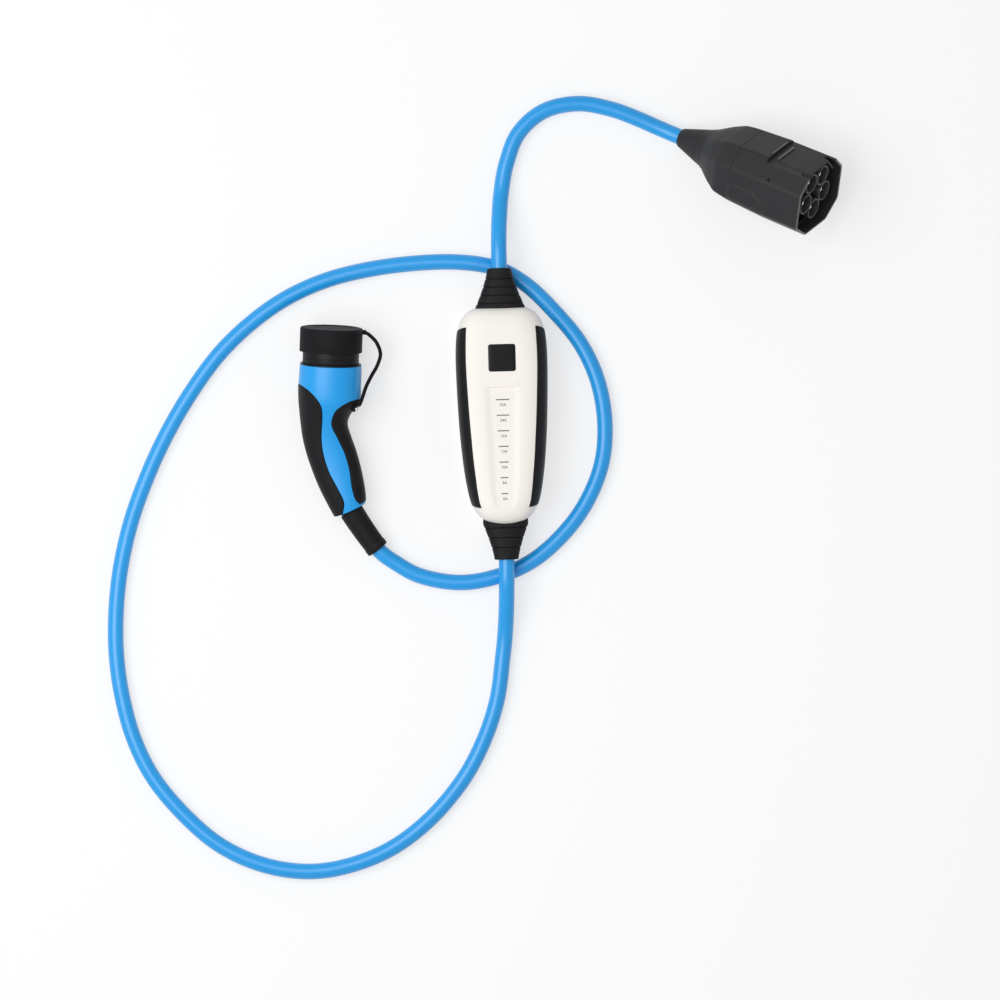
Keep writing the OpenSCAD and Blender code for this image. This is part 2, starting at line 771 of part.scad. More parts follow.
// Cylinder along the connector's X
module rod_x(r, x0, x1) {
    translate([x0, 0, 0]) rotate([0, 90, 0]) cylinder(r = r, h = x1 - x0);
}

// Radius at angle t of an eight-sided section: half width w, height of the flat key side,
// reach of the upper chamfer, depth of the underside and reach of the lower chamfer
function eight_sided(t, w, key, upper, under, lower) =
    let (c = abs(cos(t)), s = sin(t), far = 1000)
    min(
        c > 0.001 ? w / c : far,
        s > 0.001 ? key / s : far,
        s > 0 ? upper / ((c + s) * sqrt(0.5)) : far,
        s < -0.001 ? under / -s : far,
        s < 0 ? lower / (0.62 * c - 0.785 * s) : far);
con_points = 40;
function con_ring(x, size, roundness, round_r) =
    [for (j = [0 : con_points - 1])
        let (
            t = 360 * (j + 0.5) / con_points,
            r = mix(eight_sided(t, size[0], size[1], size[2], size[3], size[4]), round_r, roundness))
        [x, r * cos(t), r * sin(t)]];

wing_r = con_w / 2;
step_x = 122;
nose_back = 104;
shell_out = [wing_r, 36, 43, 42, 46.5];
nose_out = [wing_r - 5.2, 31.6, 36.6, 39.4, 43.4];
nose_in = nose_out - [3, 3, 3, 3, 3];
rim_less = [2.6, 2.6, 2.6, 1.8, 2.2];
rim_deep = 12;
tongue_back = 5;
tongue_z = 15;

// Outer shell: round at the boot and eight-sided from the knee on, with a thin rim in
// front. The flat key side is cut back at the step, which bares the tongue of the nose.
module connector_shell() {
    seat = nose_out + 0.1 * [1, 1, 1, 1, 1];
    color(grey) at_con() difference() {
        loft([
            con_ring(36, shell_out, 1, boot_end_r), con_ring(44, shell_out * 0.62, 0.7, 27),
            con_ring(55, shell_out * 0.77, 0.35, 34), con_ring(knee, shell_out * 0.895, 0, 0),
            con_ring(78, shell_out * 0.93, 0, 0), con_ring(step_x, shell_out * 0.985, 0, 0),
            con_ring(con_l, shell_out, 0, 0), con_ring(con_l, shell_out - rim_less, 0, 0),
            con_ring(con_l - rim_deep, shell_out - rim_less, 0, 0),
            con_ring(con_l - rim_deep, seat, 0, 0), con_ring(nose_back, seat, 0, 0)]);
        translate([step_x, -60, 31]) cube([100, 120, 60]);
        rod_x(cord_d / 2 + 5, 20, 60);
    }
}

// Inner nose: a cup round the tubes. Only its flat key side runs on to the front, as a
// tongue over the two upper tubes.
tube_floor = 128;
module connector_nose() {
    front = con_l - tongue_back;
    color(grey) at_con() difference() {
        loft([
            con_ring(nose_back, nose_out, 0, 0), con_ring(front, nose_out, 0, 0),
            con_ring(front, nose_in, 0, 0), con_ring(tube_floor, nose_in, 0, 0)]);
        translate([con_l - rim_deep - 3, -60, -80]) cube([30, 120, 80 + tongue_z]);
    }
}

pin_angles = [for (k = [0 : 4]) -90 + 72 * k];
module at_pins() {
    for (t = pin_angles) rotate([t, 0, 0]) translate([0, pin_circle / 2, 0]) children();
}

tube_base = 3;
pin_root_r = 2;

// Five insulating tubes standing on the floor of the nose
module tube_block() {
    color("#4a4a4d") at_con() at_pins() difference() {
        rod_x(tube_od / 2, tube_floor, con_l - tongue_back);
        rod_x(tube_id / 2, tube_floor + tube_base, con_l);
        rod_x(pin_root_r + 0.1, tube_floor - 1, tube_floor + 4);
    }
}

module supply_pins() {
    color(metal) at_con() at_pins() {
        rod_x(pin_d / 2, tube_floor + tube_base, con_l - 8.5);
        rod_x(pin_root_r, tube_floor, tube_floor + tube_base + 1);
    }
}

// Ribbed boot that the cord enters
module connector_boot() {
    r = cord_d / 2;
    ribs = 5;
    pitch = 4;
    color(grey) at_con() rotate([0, 0, -90]) turned_y(concat(
        [[r + 0.8, 0], [r + 1.2, 0]],
        [for (k = [0 : ribs - 1]) each
            let (y = 1.5 + k * pitch, out = r + 1.6 + 1.4 * k)
            [[out, y], [out, y + 2.6], [out - 0.8, y + 3], [out - 0.8, y + 3.8]]],
        [[r + 8.9, 22], [boot_end_r - 0.1, 36], [r + 4.9, 36], [r + 4.9, 59], [r + 0.2, 59], [r + 0.2, 10]]));
}

// Cord routes, as they lie on the floor, with heights where they leave it
floor_z = cord_d / 2;
supply_route = [
    [0, supply_end_y - 20, cord_z], [0, supply_tip_y - 22, cord_z], [0, supply_tip_y, cord_z],
    [0.2, 184, 30.5], [1.5, 212, 20], [4.5, 241, 10.5], [11, 272, floor_z + 0.2], [25, 304, floor_z],
    [53, 327, floor_z], [90, 334, floor_z], [126, 327, floor_z], [155, 315.5, floor_z],
    [172, 307.5, floor_z + 0.2], [186.4, 300.8, floor_z + 1.7], on_con_axis(0), on_con_axis(16),
    on_con_axis(34), on_con_axis(54)
];
charge_route = [
    [0, charge_end_y + 16, cord_z], [0, charge_tip_y + 20, cord_z], [0, charge_tip_y, cord_z],
    [-0.5, -182, 31], [-1.5, -208, 22.5], [-3.5, -236, 12.5], [-7, -264, floor_z + 0.3],
    [-14, -308, floor_z], [-29, -351, floor_z], [-53, -394, floor_z], [-90, -436, floor_z],
    [-133, -467, floor_z], [-180, -484.5, floor_z], [-225, -489.5, floor_z], [-272, -481, floor_z],
    [-316, -460, floor_z], [-353, -428, floor_z], [-387, -386, floor_z], [-408, -342, floor_z],
    [-420, -294, floor_z], [-425, -248, floor_z], [-424, -202, floor_z], [-418, -156, floor_z],
    [-406, -108, floor_z], [-389, -63, floor_z], [-368, -19, floor_z], [-341, 26, floor_z],
    [-308, 70, floor_z], [-272, 104, floor_z], [-232, 131, floor_z], [-187, 150, floor_z],
    [-137, 161, floor_z], [-86, 166, floor_z], [-41, 165.5, floor_z], [-2, 157.8, floor_z],
    [30, 138.5, floor_z], [60, 108, floor_z], [86, 74, floor_z], [103, 35, floor_z],
    [110, -8, floor_z], [106.5, -52, floor_z], [91, -92, floor_z], [66, -127, floor_z],
    [31, -157.5, floor_z], [-9, -175, floor_z], [-51, -181, floor_z], [-93, -173, floor_z + 0.6],
    [-121.5, -157, floor_z + 2.2], from_sleeve(sleeve_l), from_sleeve(sleeve_l / 2), from_sleeve(0)
];
cord_sides = 10;

module supply_cord() {
    color(blue) round_sweep(supply_route, cord_d / 2, cord_sides, 22);
}

module charge_cord() {
    color(blue) round_sweep(charge_route, cord_d / 2, cord_sides, 57);
}

front_cover();
rear_cover();
housing_seal();
left_grip();
right_grip();
badge_plate();
light_guide();
circuit_board();
board_screws();
power_relays();
current_sensor();
terminal_blocks();
supply_leads();
charge_leads();
cover_screws();
supply_boot();
charge_boot();
supply_cord();
charge_cord();
handle_body();
spine_grip();
finger_grip();
nose_collar();
contact_carrier();
power_sockets();
pilot_sockets();
protective_cap();
cap_strap();
strap_screw();
cord_sleeve();
connector_shell();
connector_nose();
tube_block();
supply_pins();
connector_boot();
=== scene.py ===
# %% [markdown]
# # A portable charger for an electric car
#
# The object is a cream control box with black side grips. A short blue cord joins it to a
# five-pin supply connector, and a long one to the vehicle connector that a driver holds.
# The CAD frame already has every solid at its true size and place, so this lesson dresses
# it: each visible moulding is made again as a fine smooth surface in the same frame, and
# every piece gets a procedural finish.

# %% Load the frame
import math

import bpy
import numpy as np
from mathutils import Matrix, Vector


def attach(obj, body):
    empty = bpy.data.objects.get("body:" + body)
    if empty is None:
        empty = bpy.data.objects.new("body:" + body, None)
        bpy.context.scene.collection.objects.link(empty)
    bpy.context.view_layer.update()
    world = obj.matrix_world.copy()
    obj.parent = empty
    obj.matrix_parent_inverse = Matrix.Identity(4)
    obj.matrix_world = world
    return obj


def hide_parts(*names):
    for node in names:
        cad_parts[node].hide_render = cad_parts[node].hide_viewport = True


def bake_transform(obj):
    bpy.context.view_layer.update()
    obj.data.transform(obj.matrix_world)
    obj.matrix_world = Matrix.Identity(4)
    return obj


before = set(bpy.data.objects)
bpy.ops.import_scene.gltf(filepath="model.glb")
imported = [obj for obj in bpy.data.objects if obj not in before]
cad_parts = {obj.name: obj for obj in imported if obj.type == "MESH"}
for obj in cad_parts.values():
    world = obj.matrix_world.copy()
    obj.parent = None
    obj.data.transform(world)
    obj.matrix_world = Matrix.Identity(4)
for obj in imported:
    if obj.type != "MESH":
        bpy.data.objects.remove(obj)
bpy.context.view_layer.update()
MM = 0.001
CHARGER, CAP = "charger", "cap"

# %% [markdown]
# ## Camera
#
# The picture looks straight down, with hardly any perspective, and 1000 pixels span 1080 mm
# of floor. A short lens close by would lean the tall connector outward, so the camera stands
# far off behind a long lens. It is turned a little, because the box isn't quite upright.

# %% Camera
scene = bpy.context.scene
scene.view_settings.view_transform = "Standard"
FIELD_MM = 1080
LENS_MM, SENSOR_MM = 300, 36
PICTURE_CENTRE = np.array([-5.5, -92.8, 30])
PICTURE_ROLL = math.radians(-1.47)
camera_data = bpy.data.cameras.new("camera")
camera_data.lens, camera_data.sensor_width = LENS_MM, SENSOR_MM
camera_data.clip_end = 100
camera = bpy.data.objects.new("camera", camera_data)
camera_height = FIELD_MM * LENS_MM / SENSOR_MM
camera.location = (PICTURE_CENTRE + [0, 0, camera_height]) * MM
camera.rotation_euler = (0, 0, PICTURE_ROLL)
scene.collection.objects.link(camera)
scene.camera = camera
print("camera stands", camera_height * MM, "m above the part")

# %% [markdown]
# ## Floor and light
#
# The floor is a plain pale sheet. Its colour alone would render a little grey, so rays that
# come from the camera, from gloss or through glass see it glow in part, at a strength of 1,
# which is white; the rest of it still takes the soft shadows. The light is a bright even sky
# with one wide lamp overhead, to the left, which draws the bright line along the cords.

# %% Floor and light
FLOOR_HALF, GLOW_SHARE, SKY_STRENGTH = 9.0, 0.62, 0.49
LAMP_AT, LAMP_AIM = Vector((-1.15, 0.05, 2.4)), Vector((0, -0.05, 0))
LAMP_SIZE, LAMP_WATTS = 2.0, 46


def srgb(red, green, blue):
    """Screen colour from 0 to 255 as the linear colour that a shader takes: the sRGB curve,
    a straight line near black and a power of 2.4 above it."""
    c = np.array([red, green, blue]) / 255
    linear = np.where(c <= 0.04045, c / 12.92, ((c + 0.055) / 1.055) ** 2.4)
    return (*linear.tolist(), 1.0)


def add_node(material, kind, **values):
    """New node of a kind, with socket values by name."""
    node = material.node_tree.nodes.new(kind)
    for name, value in values.items():
        node.inputs[name.replace("_", " ")].default_value = value
    return node


def floor_finish():
    """White matte sheet that glows in part for camera, glossy and transmission rays."""
    material = bpy.data.materials.new("floor_white")
    material.use_nodes = True
    tree = material.node_tree
    tree.nodes.clear()
    sheet = add_node(material, "ShaderNodeBsdfDiffuse", Color=srgb(250, 250, 250))
    glow = add_node(material, "ShaderNodeEmission", Color=(1, 1, 1, 1), Strength=1)
    rays = tree.nodes.new("ShaderNodeLightPath")
    seen = rays.outputs["Is Camera Ray"]
    for name in ("Is Glossy Ray", "Is Transmission Ray"):
        either = tree.nodes.new("ShaderNodeMath")
        either.operation = "MAXIMUM"
        tree.links.new(seen, either.inputs[0])
        tree.links.new(rays.outputs[name], either.inputs[1])
        seen = either.outputs[0]
    part = tree.nodes.new("ShaderNodeMath")
    part.operation = "MULTIPLY"
    part.inputs[1].default_value = GLOW_SHARE
    tree.links.new(seen, part.inputs[0])
    both = tree.nodes.new("ShaderNodeMixShader")
    tree.links.new(part.outputs[0], both.inputs[0])
    tree.links.new(sheet.outputs[0], both.inputs[1])
    tree.links.new(glow.outputs[0], both.inputs[2])
    out = tree.nodes.new("ShaderNodeOutputMaterial")
    tree.links.new(both.outputs[0], out.inputs[0])
    return material


floor_mesh = bpy.data.meshes.new("floor")
corners = np.array([[-1, -1, 0], [1, -1, 0], [1, 1, 0], [-1, 1, 0]]) * FLOOR_HALF
floor_mesh.from_pydata(corners.tolist(), [], [[0, 1, 2, 3]])
floor = bpy.data.objects.new("floor", floor_mesh)
floor.data.materials.append(floor_finish())
scene.collection.objects.link(floor)

world = bpy.data.worlds.new("sky")
world.use_nodes = True
sky = world.node_tree.nodes["Background"]
sky.inputs[0].default_value = (1, 1, 1, 1)
sky.inputs[1].default_value = SKY_STRENGTH
scene.world = world

lamp_data = bpy.data.lights.new("overhead", "AREA")
lamp_data.size, lamp_data.energy = LAMP_SIZE, LAMP_WATTS
lamp = bpy.data.objects.new("overhead", lamp_data)
lamp.location = LAMP_AT
lamp.rotation_euler = (LAMP_AIM - LAMP_AT).to_track_quat("-Z", "Y").to_euler()
lamp.visible_camera = False
scene.collection.objects.link(lamp)
print("floor, sky of", SKY_STRENGTH, "and a lamp of", LAMP_WATTS, "W")

# %% [markdown]
# ## Finishes
#
# The real mouldings aren't flat colours. Their moulds are spark-eroded, so each plastic has a
# fine even grain, and its tint wanders by a few per cent. One helper builds such a finish:
# noise on object coordinates tints the colour, a second noise varies the gloss, and a third,
# much finer, stands up as bump. Numbers that are the same all over sit on the shader.

# %% Moulded finishes
GLOSS_CLOUD = 0.4


def moulded(name, colour, rough, grain_mm, grain_height, tint, cloud_mm, rough_spread=0.06, **sockets):
    """Moulded plastic, rubber or metal. A soft cloud swings the colour between a darker and a
    lighter copy of itself, a finer one swings the roughness by rough_spread about rough, and
    the grain is bump. Grain and clouds are sizes in millimetres."""
    material = bpy.data.materials.new(name)
    material.use_nodes = True
    tree = material.node_tree
    shader = tree.nodes["Principled BSDF"]
    for key, value in sockets.items():
        shader.inputs[key.replace("_", " ")].default_value = value
    where = tree.nodes.new("ShaderNodeTexCoord").outputs["Object"]

    def noise(size_mm, detail):
        """Noise of a size in millimetres, read at the object's own coordinates."""
        cloud = add_node(material, "ShaderNodeTexNoise", Scale=1 / (size_mm * MM), Detail=detail)
        tree.links.new(where, cloud.inputs["Vector"])
        return cloud.outputs["Fac"]

    shades = tree.nodes.new("ShaderNodeMix")
    shades.data_type = "RGBA"
    tree.links.new(noise(cloud_mm, 3), shades.inputs["Factor"])
    shades.inputs["A"].default_value = tuple(c * (1 - tint) for c in colour[:3]) + (1,)
    shades.inputs["B"].default_value = tuple(min(1, c * (1 + tint)) for c in colour[:3]) + (1,)
    tree.links.new(shades.outputs["Result"], shader.inputs["Base Color"])

    gloss = add_node(material, "ShaderNodeMapRange", To_Min=rough - rough_spread,
                     To_Max=rough + rough_spread)
    tree.links.new(noise(cloud_mm * GLOSS_CLOUD, 4), gloss.inputs["Value"])
    tree.links.new(gloss.outputs[0], shader.inputs["Roughness"])

    bump = add_node(material, "ShaderNodeBump", Strength=1.0, Distance=grain_height * MM)
    tree.links.new(noise(grain_mm, 2), bump.inputs["Height"])
    tree.links.new(bump.outputs[0], shader.inputs["Normal"])
    return material


finishes = {
    "housing": moulded("cream_housing", srgb(246, 242, 235), 0.5, 0.5, 0.010, 0.012, 40,
                       Specular_IOR_Level=0.25),
    "soft_grip": moulded("black_soft_grip", srgb(30, 30, 32), 0.5, 0.35, 0.02, 0.06, 14,
                         Specular_IOR_Level=0.12),
    "boot": moulded("black_boot_rubber", srgb(28, 28, 30), 0.56, 0.5, 0.02, 0.08, 12,
                    Specular_IOR_Level=0.14),
    "badge": moulded("gloss_black_badge", srgb(20, 20, 23), 0.2, 3.0, 0.002, 0.03, 30, 0.03,
                     Specular_IOR_Level=0.2),
    "cord": moulded("blue_cord_jacket", srgb(12, 157, 233), 0.34, 0.9, 0.008, 0.05, 30, 0.05,
                    Specular_IOR_Level=0.75),
    "handle": moulded("blue_handle_plastic", srgb(24, 158, 234), 0.36, 0.45, 0.012, 0.03, 25),
    "nose": moulded("black_nose_plastic", srgb(29, 29, 31), 0.4, 0.5, 0.012, 0.06, 16,
                    Specular_IOR_Level=0.15),
    "cap": moulded("black_cap_rubber", srgb(31, 31, 33), 0.55, 0.6, 0.02, 0.08, 15,
                   Specular_IOR_Level=0.06),
    "shell": moulded("charcoal_shell", srgb(47, 47, 49), 0.5, 0.7, 0.03, 0.06, 14,
                     Specular_IOR_Level=0.25),
    # Paler charcoal as a painted highlight: it stands in for the light that the rim's front edge and the key
    # bars catch.
    "painted_edge_highlight": moulded("charcoal_painted_edge_highlight", srgb(92, 92, 94), 0.42, 0.7, 0.02, 0.08, 8),
    "tubes": moulded("charcoal_tubes", srgb(66, 66, 69), 0.42, 0.5, 0.012, 0.05, 10),
    "steel": moulded("bright_steel", srgb(208, 210, 214), 0.24, 0.5, 0.006, 0.04, 5, 0.06,
                     Metallic=1.0),
    "contacts": moulded("brass_contacts", srgb(199, 162, 82), 0.3, 0.6, 0.005, 0.06, 5, 0.06,
                        Metallic=1.0),
    "board": moulded("green_board", srgb(46, 107, 70), 0.35, 0.8, 0.01, 0.1, 6),
    "relays": moulded("slate_relays", srgb(56, 66, 78), 0.4, 0.5, 0.01, 0.05, 9),
    "core": moulded("ferrite_core", srgb(216, 210, 194), 0.6, 0.7, 0.02, 0.06, 6),
    "terminals": moulded("grey_terminals", srgb(140, 146, 153), 0.45, 0.5, 0.01, 0.05, 8),
    "leads": moulded("brown_leads", srgb(122, 74, 42), 0.45, 0.5, 0.01, 0.06, 8),
    "light": moulded("clear_light_guide", srgb(242, 242, 242), 0.2, 1.0, 0.004, 0.02, 10),
    "ink": moulded("grey_scale_ink", srgb(110, 106, 101), 0.6, 0.3, 0.004, 0.05, 4),
}
print(len(finishes), "finishes")

# %% [markdown]
# ## Surfaces from grids
#
# Every moulding here is a surface over two parameters: rows along the piece and columns round
# it. The points come out of numpy as whole arrays, and the faces only join neighbours in the
# grid. Subdivision modelling would need less arithmetic, but a formula keeps each curve where
# the CAD has it. All sizes below are millimetres, and they become metres in the mesh.

# %% Grid helpers
def smooth_curve(points, u):
    """Point at u on the cubic curve through the points, one unit of u from each to the next.
    Each stretch leaves and meets its points along the chord of their neighbours."""
    p, u = np.asarray(points, float), np.asarray(u, float)
    last = len(p) - 1
    i = np.clip(np.floor(u).astype(int), 0, last - 1)
    f = (u - i)[..., None]
    a, b, c, d = p[np.maximum(i - 1, 0)], p[i], p[i + 1], p[np.minimum(i + 2, last)]
    return 0.5 * (2 * b + (c - a) * f + (2 * a - 5 * b + 4 * c - d) * f**2
                  + (3 * b - a - 3 * c + d) * f**3)


def closed_curve(points, u):
    """The same cubic curve through points that run round and meet."""
    p = np.asarray(points, float)
    padded = np.concatenate([p[-1:], p, p[:2]])
    return smooth_curve(padded, np.mod(u, len(p)) + 1)


def unit(v):
    """Vectors made one long."""
    return v / np.linalg.norm(v, axis=-1, keepdims=True)


def smooth_step(v):
    """Eased 0 to 1: three times the square less twice the cube."""
    v = np.clip(v, 0, 1)
    return v * v * (3 - 2 * v)


def quarter_round(v):
    """Quarter circle from 0 to 1, steep at first and level at the end: the root of 1 less the
    square of what is left."""
    return np.sqrt(1 - (1 - np.clip(v, 0, 1)) ** 2)


def cells(rows, columns, close_rows=False, close_columns=True):
    """Quads that join a grid of rows by columns, round on itself where a side is closed."""
    i = np.arange(rows if close_rows else rows - 1)[:, None]
    j = np.arange(columns if close_columns else columns - 1)[None, :]
    k, m = (i + 1) % rows, (j + 1) % columns
    quads = [i * columns + j, i * columns + m, k * columns + m, k * columns + j]
    return np.stack(np.broadcast_arrays(*quads), -1).reshape(-1, 4)


def fan(middle, ring):
    """Triangles from one point to each side of a closed ring of point numbers."""
    return np.stack([np.full(len(ring), middle), ring, np.roll(ring, -1)], -1)


def loft(rings):
    """Closed skin over a stack of rings, each end closed by a fan to its middle."""
    rows, columns = rings.shape[:2]
    points = np.concatenate([rings.reshape(-1, 3), rings[[0, -1]].mean(1)])
    first, last = np.arange(columns), np.arange(columns) + (rows - 1) * columns
    return points, [cells(rows, columns), fan(rows * columns, first[::-1]),
                    fan(rows * columns + 1, last)]


def pipe(rings):
    """Closed skin over rings that go out along the outside and come back along the bore."""
    rows, columns = rings.shape[:2]
    return rings.reshape(-1, 3), [cells(rows, columns, close_rows=True)]


def slab(outer, inner):
    """Closed skin of a sheet: an outer grid, an inner grid behind it, and a strip round the
    edge that joins the borders of both."""
    rows, columns = outer.shape[:2]
    count = rows * columns
    number = np.arange(count).reshape(rows, columns)
    border = np.concatenate([number[0], number[1:, -1], number[-1, -2::-1], number[-2:0:-1, 0]])
    after = np.roll(border, -1)
    face = cells(rows, columns, close_columns=False)
    rim = np.stack([after, border, border + count, after + count], -1)
    return np.concatenate([outer.reshape(-1, 3), inner.reshape(-1, 3)]), [
        face, face[:, ::-1] + count, rim]


def gathered(*solids):
    """Several skins as one: points end to end, with each face's numbers moved on."""
    start = np.cumsum([0] + [len(points) for points, _ in solids])
    faces = [f + s for (_, parts), s in zip(solids, start) for f in parts]
    return np.concatenate([points for points, _ in solids]), faces


def enclosed(points, faces):
    """Volume inside a closed skin: the sum over its triangles of a dot (b cross c) over 6."""
    total = 0.0
    for f in faces:
        for k in range(1, f.shape[1] - 1):
            a, b, c = points[f[:, 0]], points[f[:, k]], points[f[:, k + 1]]
            total += np.einsum("ij,ij->", a, np.cross(b, c)) / 6
    return total


def smooth_mesh(mesh, sharp):
    """Smooth shading, with an edge kept wherever faces turn by more than sharp degrees."""
    mesh.shade_smooth()
    mesh.set_sharp_from_angle(angle=math.radians(sharp))


def mesh_of(name, points, faces):
    """Mesh in metres, with its faces turned to look outward."""
    turn = 1 if enclosed(points, faces) > 0 else -1
    mesh = bpy.data.meshes.new(name)
    mesh.from_pydata((points * MM).tolist(), [], [q for f in faces for q in f[:, ::turn].tolist()])
    return mesh


def make_piece(name, solid, slot, replaces=(), body=CHARGER, finish=None, sharp=35, ride=True):
    """Puts a skin into the scene as a piece that rides on a body and takes a slot's finish."""
    piece = bpy.data.objects.new(name, mesh_of(name, *solid))
    scene.collection.objects.link(piece)
    piece.data.materials.append(finishes[finish or slot])
    smooth_mesh(piece.data, sharp)
    if ride:
        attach(piece, body)
    if replaces:
        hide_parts(*replaces)
    print(f"{name}: {len(piece.data.vertices)} points, {len(piece.data.polygons)} faces")
    return piece


def carve(piece, solid, sharp=35):
    """Cuts a solid out of a piece, for openings that no grid of the piece can follow."""
    tool = bpy.data.objects.new("tool", mesh_of("tool", *solid))
    scene.collection.objects.link(tool)
    cut = piece.modifiers.new("cut", "BOOLEAN")
    cut.operation, cut.solver, cut.object = "DIFFERENCE", "MANIFOLD", tool
    ready = piece.evaluated_get(bpy.context.evaluated_depsgraph_get())
    mesh = bpy.data.meshes.new_from_object(ready)
    piece.modifiers.clear()
    piece.data = mesh
    bpy.data.objects.remove(tool)
    smooth_mesh(piece.data, sharp)
    print(f"  carved {piece.name}: {len(mesh.polygons)} faces")


def circle_at(angles):
    """Cosine and sine of angles, side by side."""
    return np.stack([np.cos(angles), np.sin(angles)], -1)


def turns(count):
    """Evenly spaced angles once round, without the last."""
    return np.arange(count) / count * 2 * np.pi


print("grid helpers ready")

# %% [markdown]
# ## The two cords
#
# The cords are the longest pieces and they set how the whole part lies, so they come first.
# Each is a round jacket of 17 mm carried along a smooth route: straight out of its boot,
# down to the floor, and along it in the loops of the picture. A bevelled curve object would
# do, but a mesh tube has rings where the bends need them. The route's points are those of
# the CAD source, in millimetres, and one cord lies on the other where they cross.

# %% Frames of the two connectors
def turned(axis, degrees):
    """Turn about one axis as a 3 by 3 array."""
    return np.array(Matrix.Rotation(math.radians(degrees), 3, axis))


GUN_AT = np.array([-184.5, 55.5, 36.25])
GUN_TURN = turned("Z", -3.5) @ turned("X", 6.8)
CON_AT = np.array([200.3, 294.3, 14.6])
CON_TURN = turned("Z", -25) @ turned("Y", -24) @ turned("X", -53)


def from_gun(p):
    """Vehicle connector's own points in the frame: turned, then moved."""
    return np.asarray(p, float) @ GUN_TURN.T + GUN_AT


def from_con(p):
    """Supply connector's own points in the frame: turned, then moved."""
    return np.asarray(p, float) @ CON_TURN.T + CON_AT


SLEEVE_ROOT = np.array([25.6, -153, 0])
SLEEVE_L = 54.0
SLEEVE_BEND = np.radians([33, 40])


def sleeve_line(s):
    """Middle line of the sleeve and its heading, at lengths s from its root: an arc whose
    heading swings evenly from the first angle to the second, and straight behind the root."""
    s = np.asarray(s, float)
    start, bend_r = SLEEVE_BEND[0], SLEEVE_L / np.ptp(SLEEVE_BEND)
    now = start + np.ptp(SLEEVE_BEND) * np.maximum(s, 0) / SLEEVE_L
    x = bend_r * (np.cos(start) - np.cos(now)) + np.minimum(s, 0) * np.sin(start)
    y = bend_r * (np.sin(start) - np.sin(now)) - np.minimum(s, 0) * np.cos(start)
    return SLEEVE_ROOT + np.stack([x, y, 0 * x], -1), now


print("cord enters the sleeve at", from_gun(sleeve_line(SLEEVE_L)[0]).round(1))

# %% Cord routes and jackets
CORD_D = 17.0
CORD_Z, LIE_Z = 33.0, CORD_D / 2
CORD_STEP, CORD_SIDES, WALK_STEPS = 3.0, 28, 4000
SUPPLY_TIP_Y, CHARGE_TIP_Y = 157.3, -157.3
SUPPLY_END_Y, CHARGE_END_Y = 115.9, -120.1


def lying(*points):
    """Points in plan, put at the height of a cord that lies on the floor."""
    return [[x, y, LIE_Z] for x, y in points]


supply_route = [
    [0, SUPPLY_END_Y - 20, CORD_Z], [0, SUPPLY_TIP_Y - 22, CORD_Z], [0, SUPPLY_TIP_Y, CORD_Z],
    [0.2, 184, 30.5], [1.5, 212, 20], [4.5, 241, 10.5], [11, 272, LIE_Z + 0.2],
    *lying((25, 304), (53, 327), (90, 334), (126, 327), (155, 315.5)),
    [172, 307.5, LIE_Z + 0.2], [186.4, 300.8, LIE_Z + 1.7],
    *from_con([[0, 0, 0], [16, 0, 0], [34, 0, 0], [54, 0, 0]]).tolist(),
]
charge_route = [
    [0, CHARGE_END_Y + 16, CORD_Z], [0, CHARGE_TIP_Y + 20, CORD_Z], [0, CHARGE_TIP_Y, CORD_Z],
    [-0.5, -182, 31], [-1.5, -208, 22.5], [-3.5, -236, 12.5], [-7, -264, LIE_Z + 0.3],
    *lying((-14, -308), (-29, -351), (-53, -394), (-90, -436), (-133, -467), (-180, -484.5),
           (-225, -489.5), (-272, -481), (-316, -460), (-353, -428), (-387, -386), (-408, -342),
           (-420, -294), (-425, -248), (-424, -202), (-418, -156), (-406, -108), (-389, -63),
           (-368, -19), (-341, 26), (-308, 70), (-272, 104), (-232, 131), (-187, 150),
           (-137, 161), (-86, 166), (-41, 165.5), (-2, 157.8), (30, 138.5), (60, 108), (86, 74),
           (103, 35), (110, -8), (106.5, -52), (91, -92), (66, -127), (31, -157.5), (-9, -175),
           (-51, -181)),
    [-93, -173, LIE_Z + 0.6], [-121.5, -157, LIE_Z + 2.2],
    *from_gun(sleeve_line([SLEEVE_L, SLEEVE_L / 2, 0])[0]).tolist(),
]


def along_route(route, spacing):
    """Middle line of a cord: the smooth curve through its route, walked at even lengths."""
    u = np.linspace(0, len(route) - 1, WALK_STEPS)
    line = smooth_curve(route, u)
    walked = np.concatenate([[0], np.cumsum(np.linalg.norm(np.diff(line, axis=0), axis=1))])
    even = np.linspace(0, walked[-1], int(walked[-1] / spacing) + 1)
    return smooth_curve(route, np.interp(even, walked, u)), walked[-1]


def tube_rings(line, radius, sides):
    """Circle of a radius carried along a line: each ring lies across the line's heading."""
    along = unit(np.gradient(line, axis=0))
    across = unit(np.cross(along, [0, 0, 1.0]))
    up = np.cross(across, along)
    c = circle_at(turns(sides))
    return line[:, None] + radius * (c[None, :, :1] * up[:, None] + c[None, :, 1:] * across[:, None])


cords = {}
for name, route, node in (("supply_cord_jacket", supply_route, "supply_cord"),
                          ("charge_cord_jacket", charge_route, "charge_cord")):
    line, length = along_route(route, CORD_STEP)
    jacket = make_piece(name, loft(tube_rings(line, CORD_D / 2, CORD_SIDES)), "cord", [node])
    cords[node] = (jacket, line * MM)
    print(f"  {node} is {length * MM:.3f} m long")

# %% [markdown]
# ## The control box: one outline, one section
#
# The box is a tapered pebble. In plan it is widest near the supply end and narrows toward the
# charge end; in section it has a flat back, upright sides and a crowned front. Both curves are
# short tables, so a point of the box is a place on the outline, moved in by the section's
# inset and lifted to its height. Both covers and the side grips use the same function. Two
# small tables bend the grid so that the grips keep their own front edge and slanted ends.

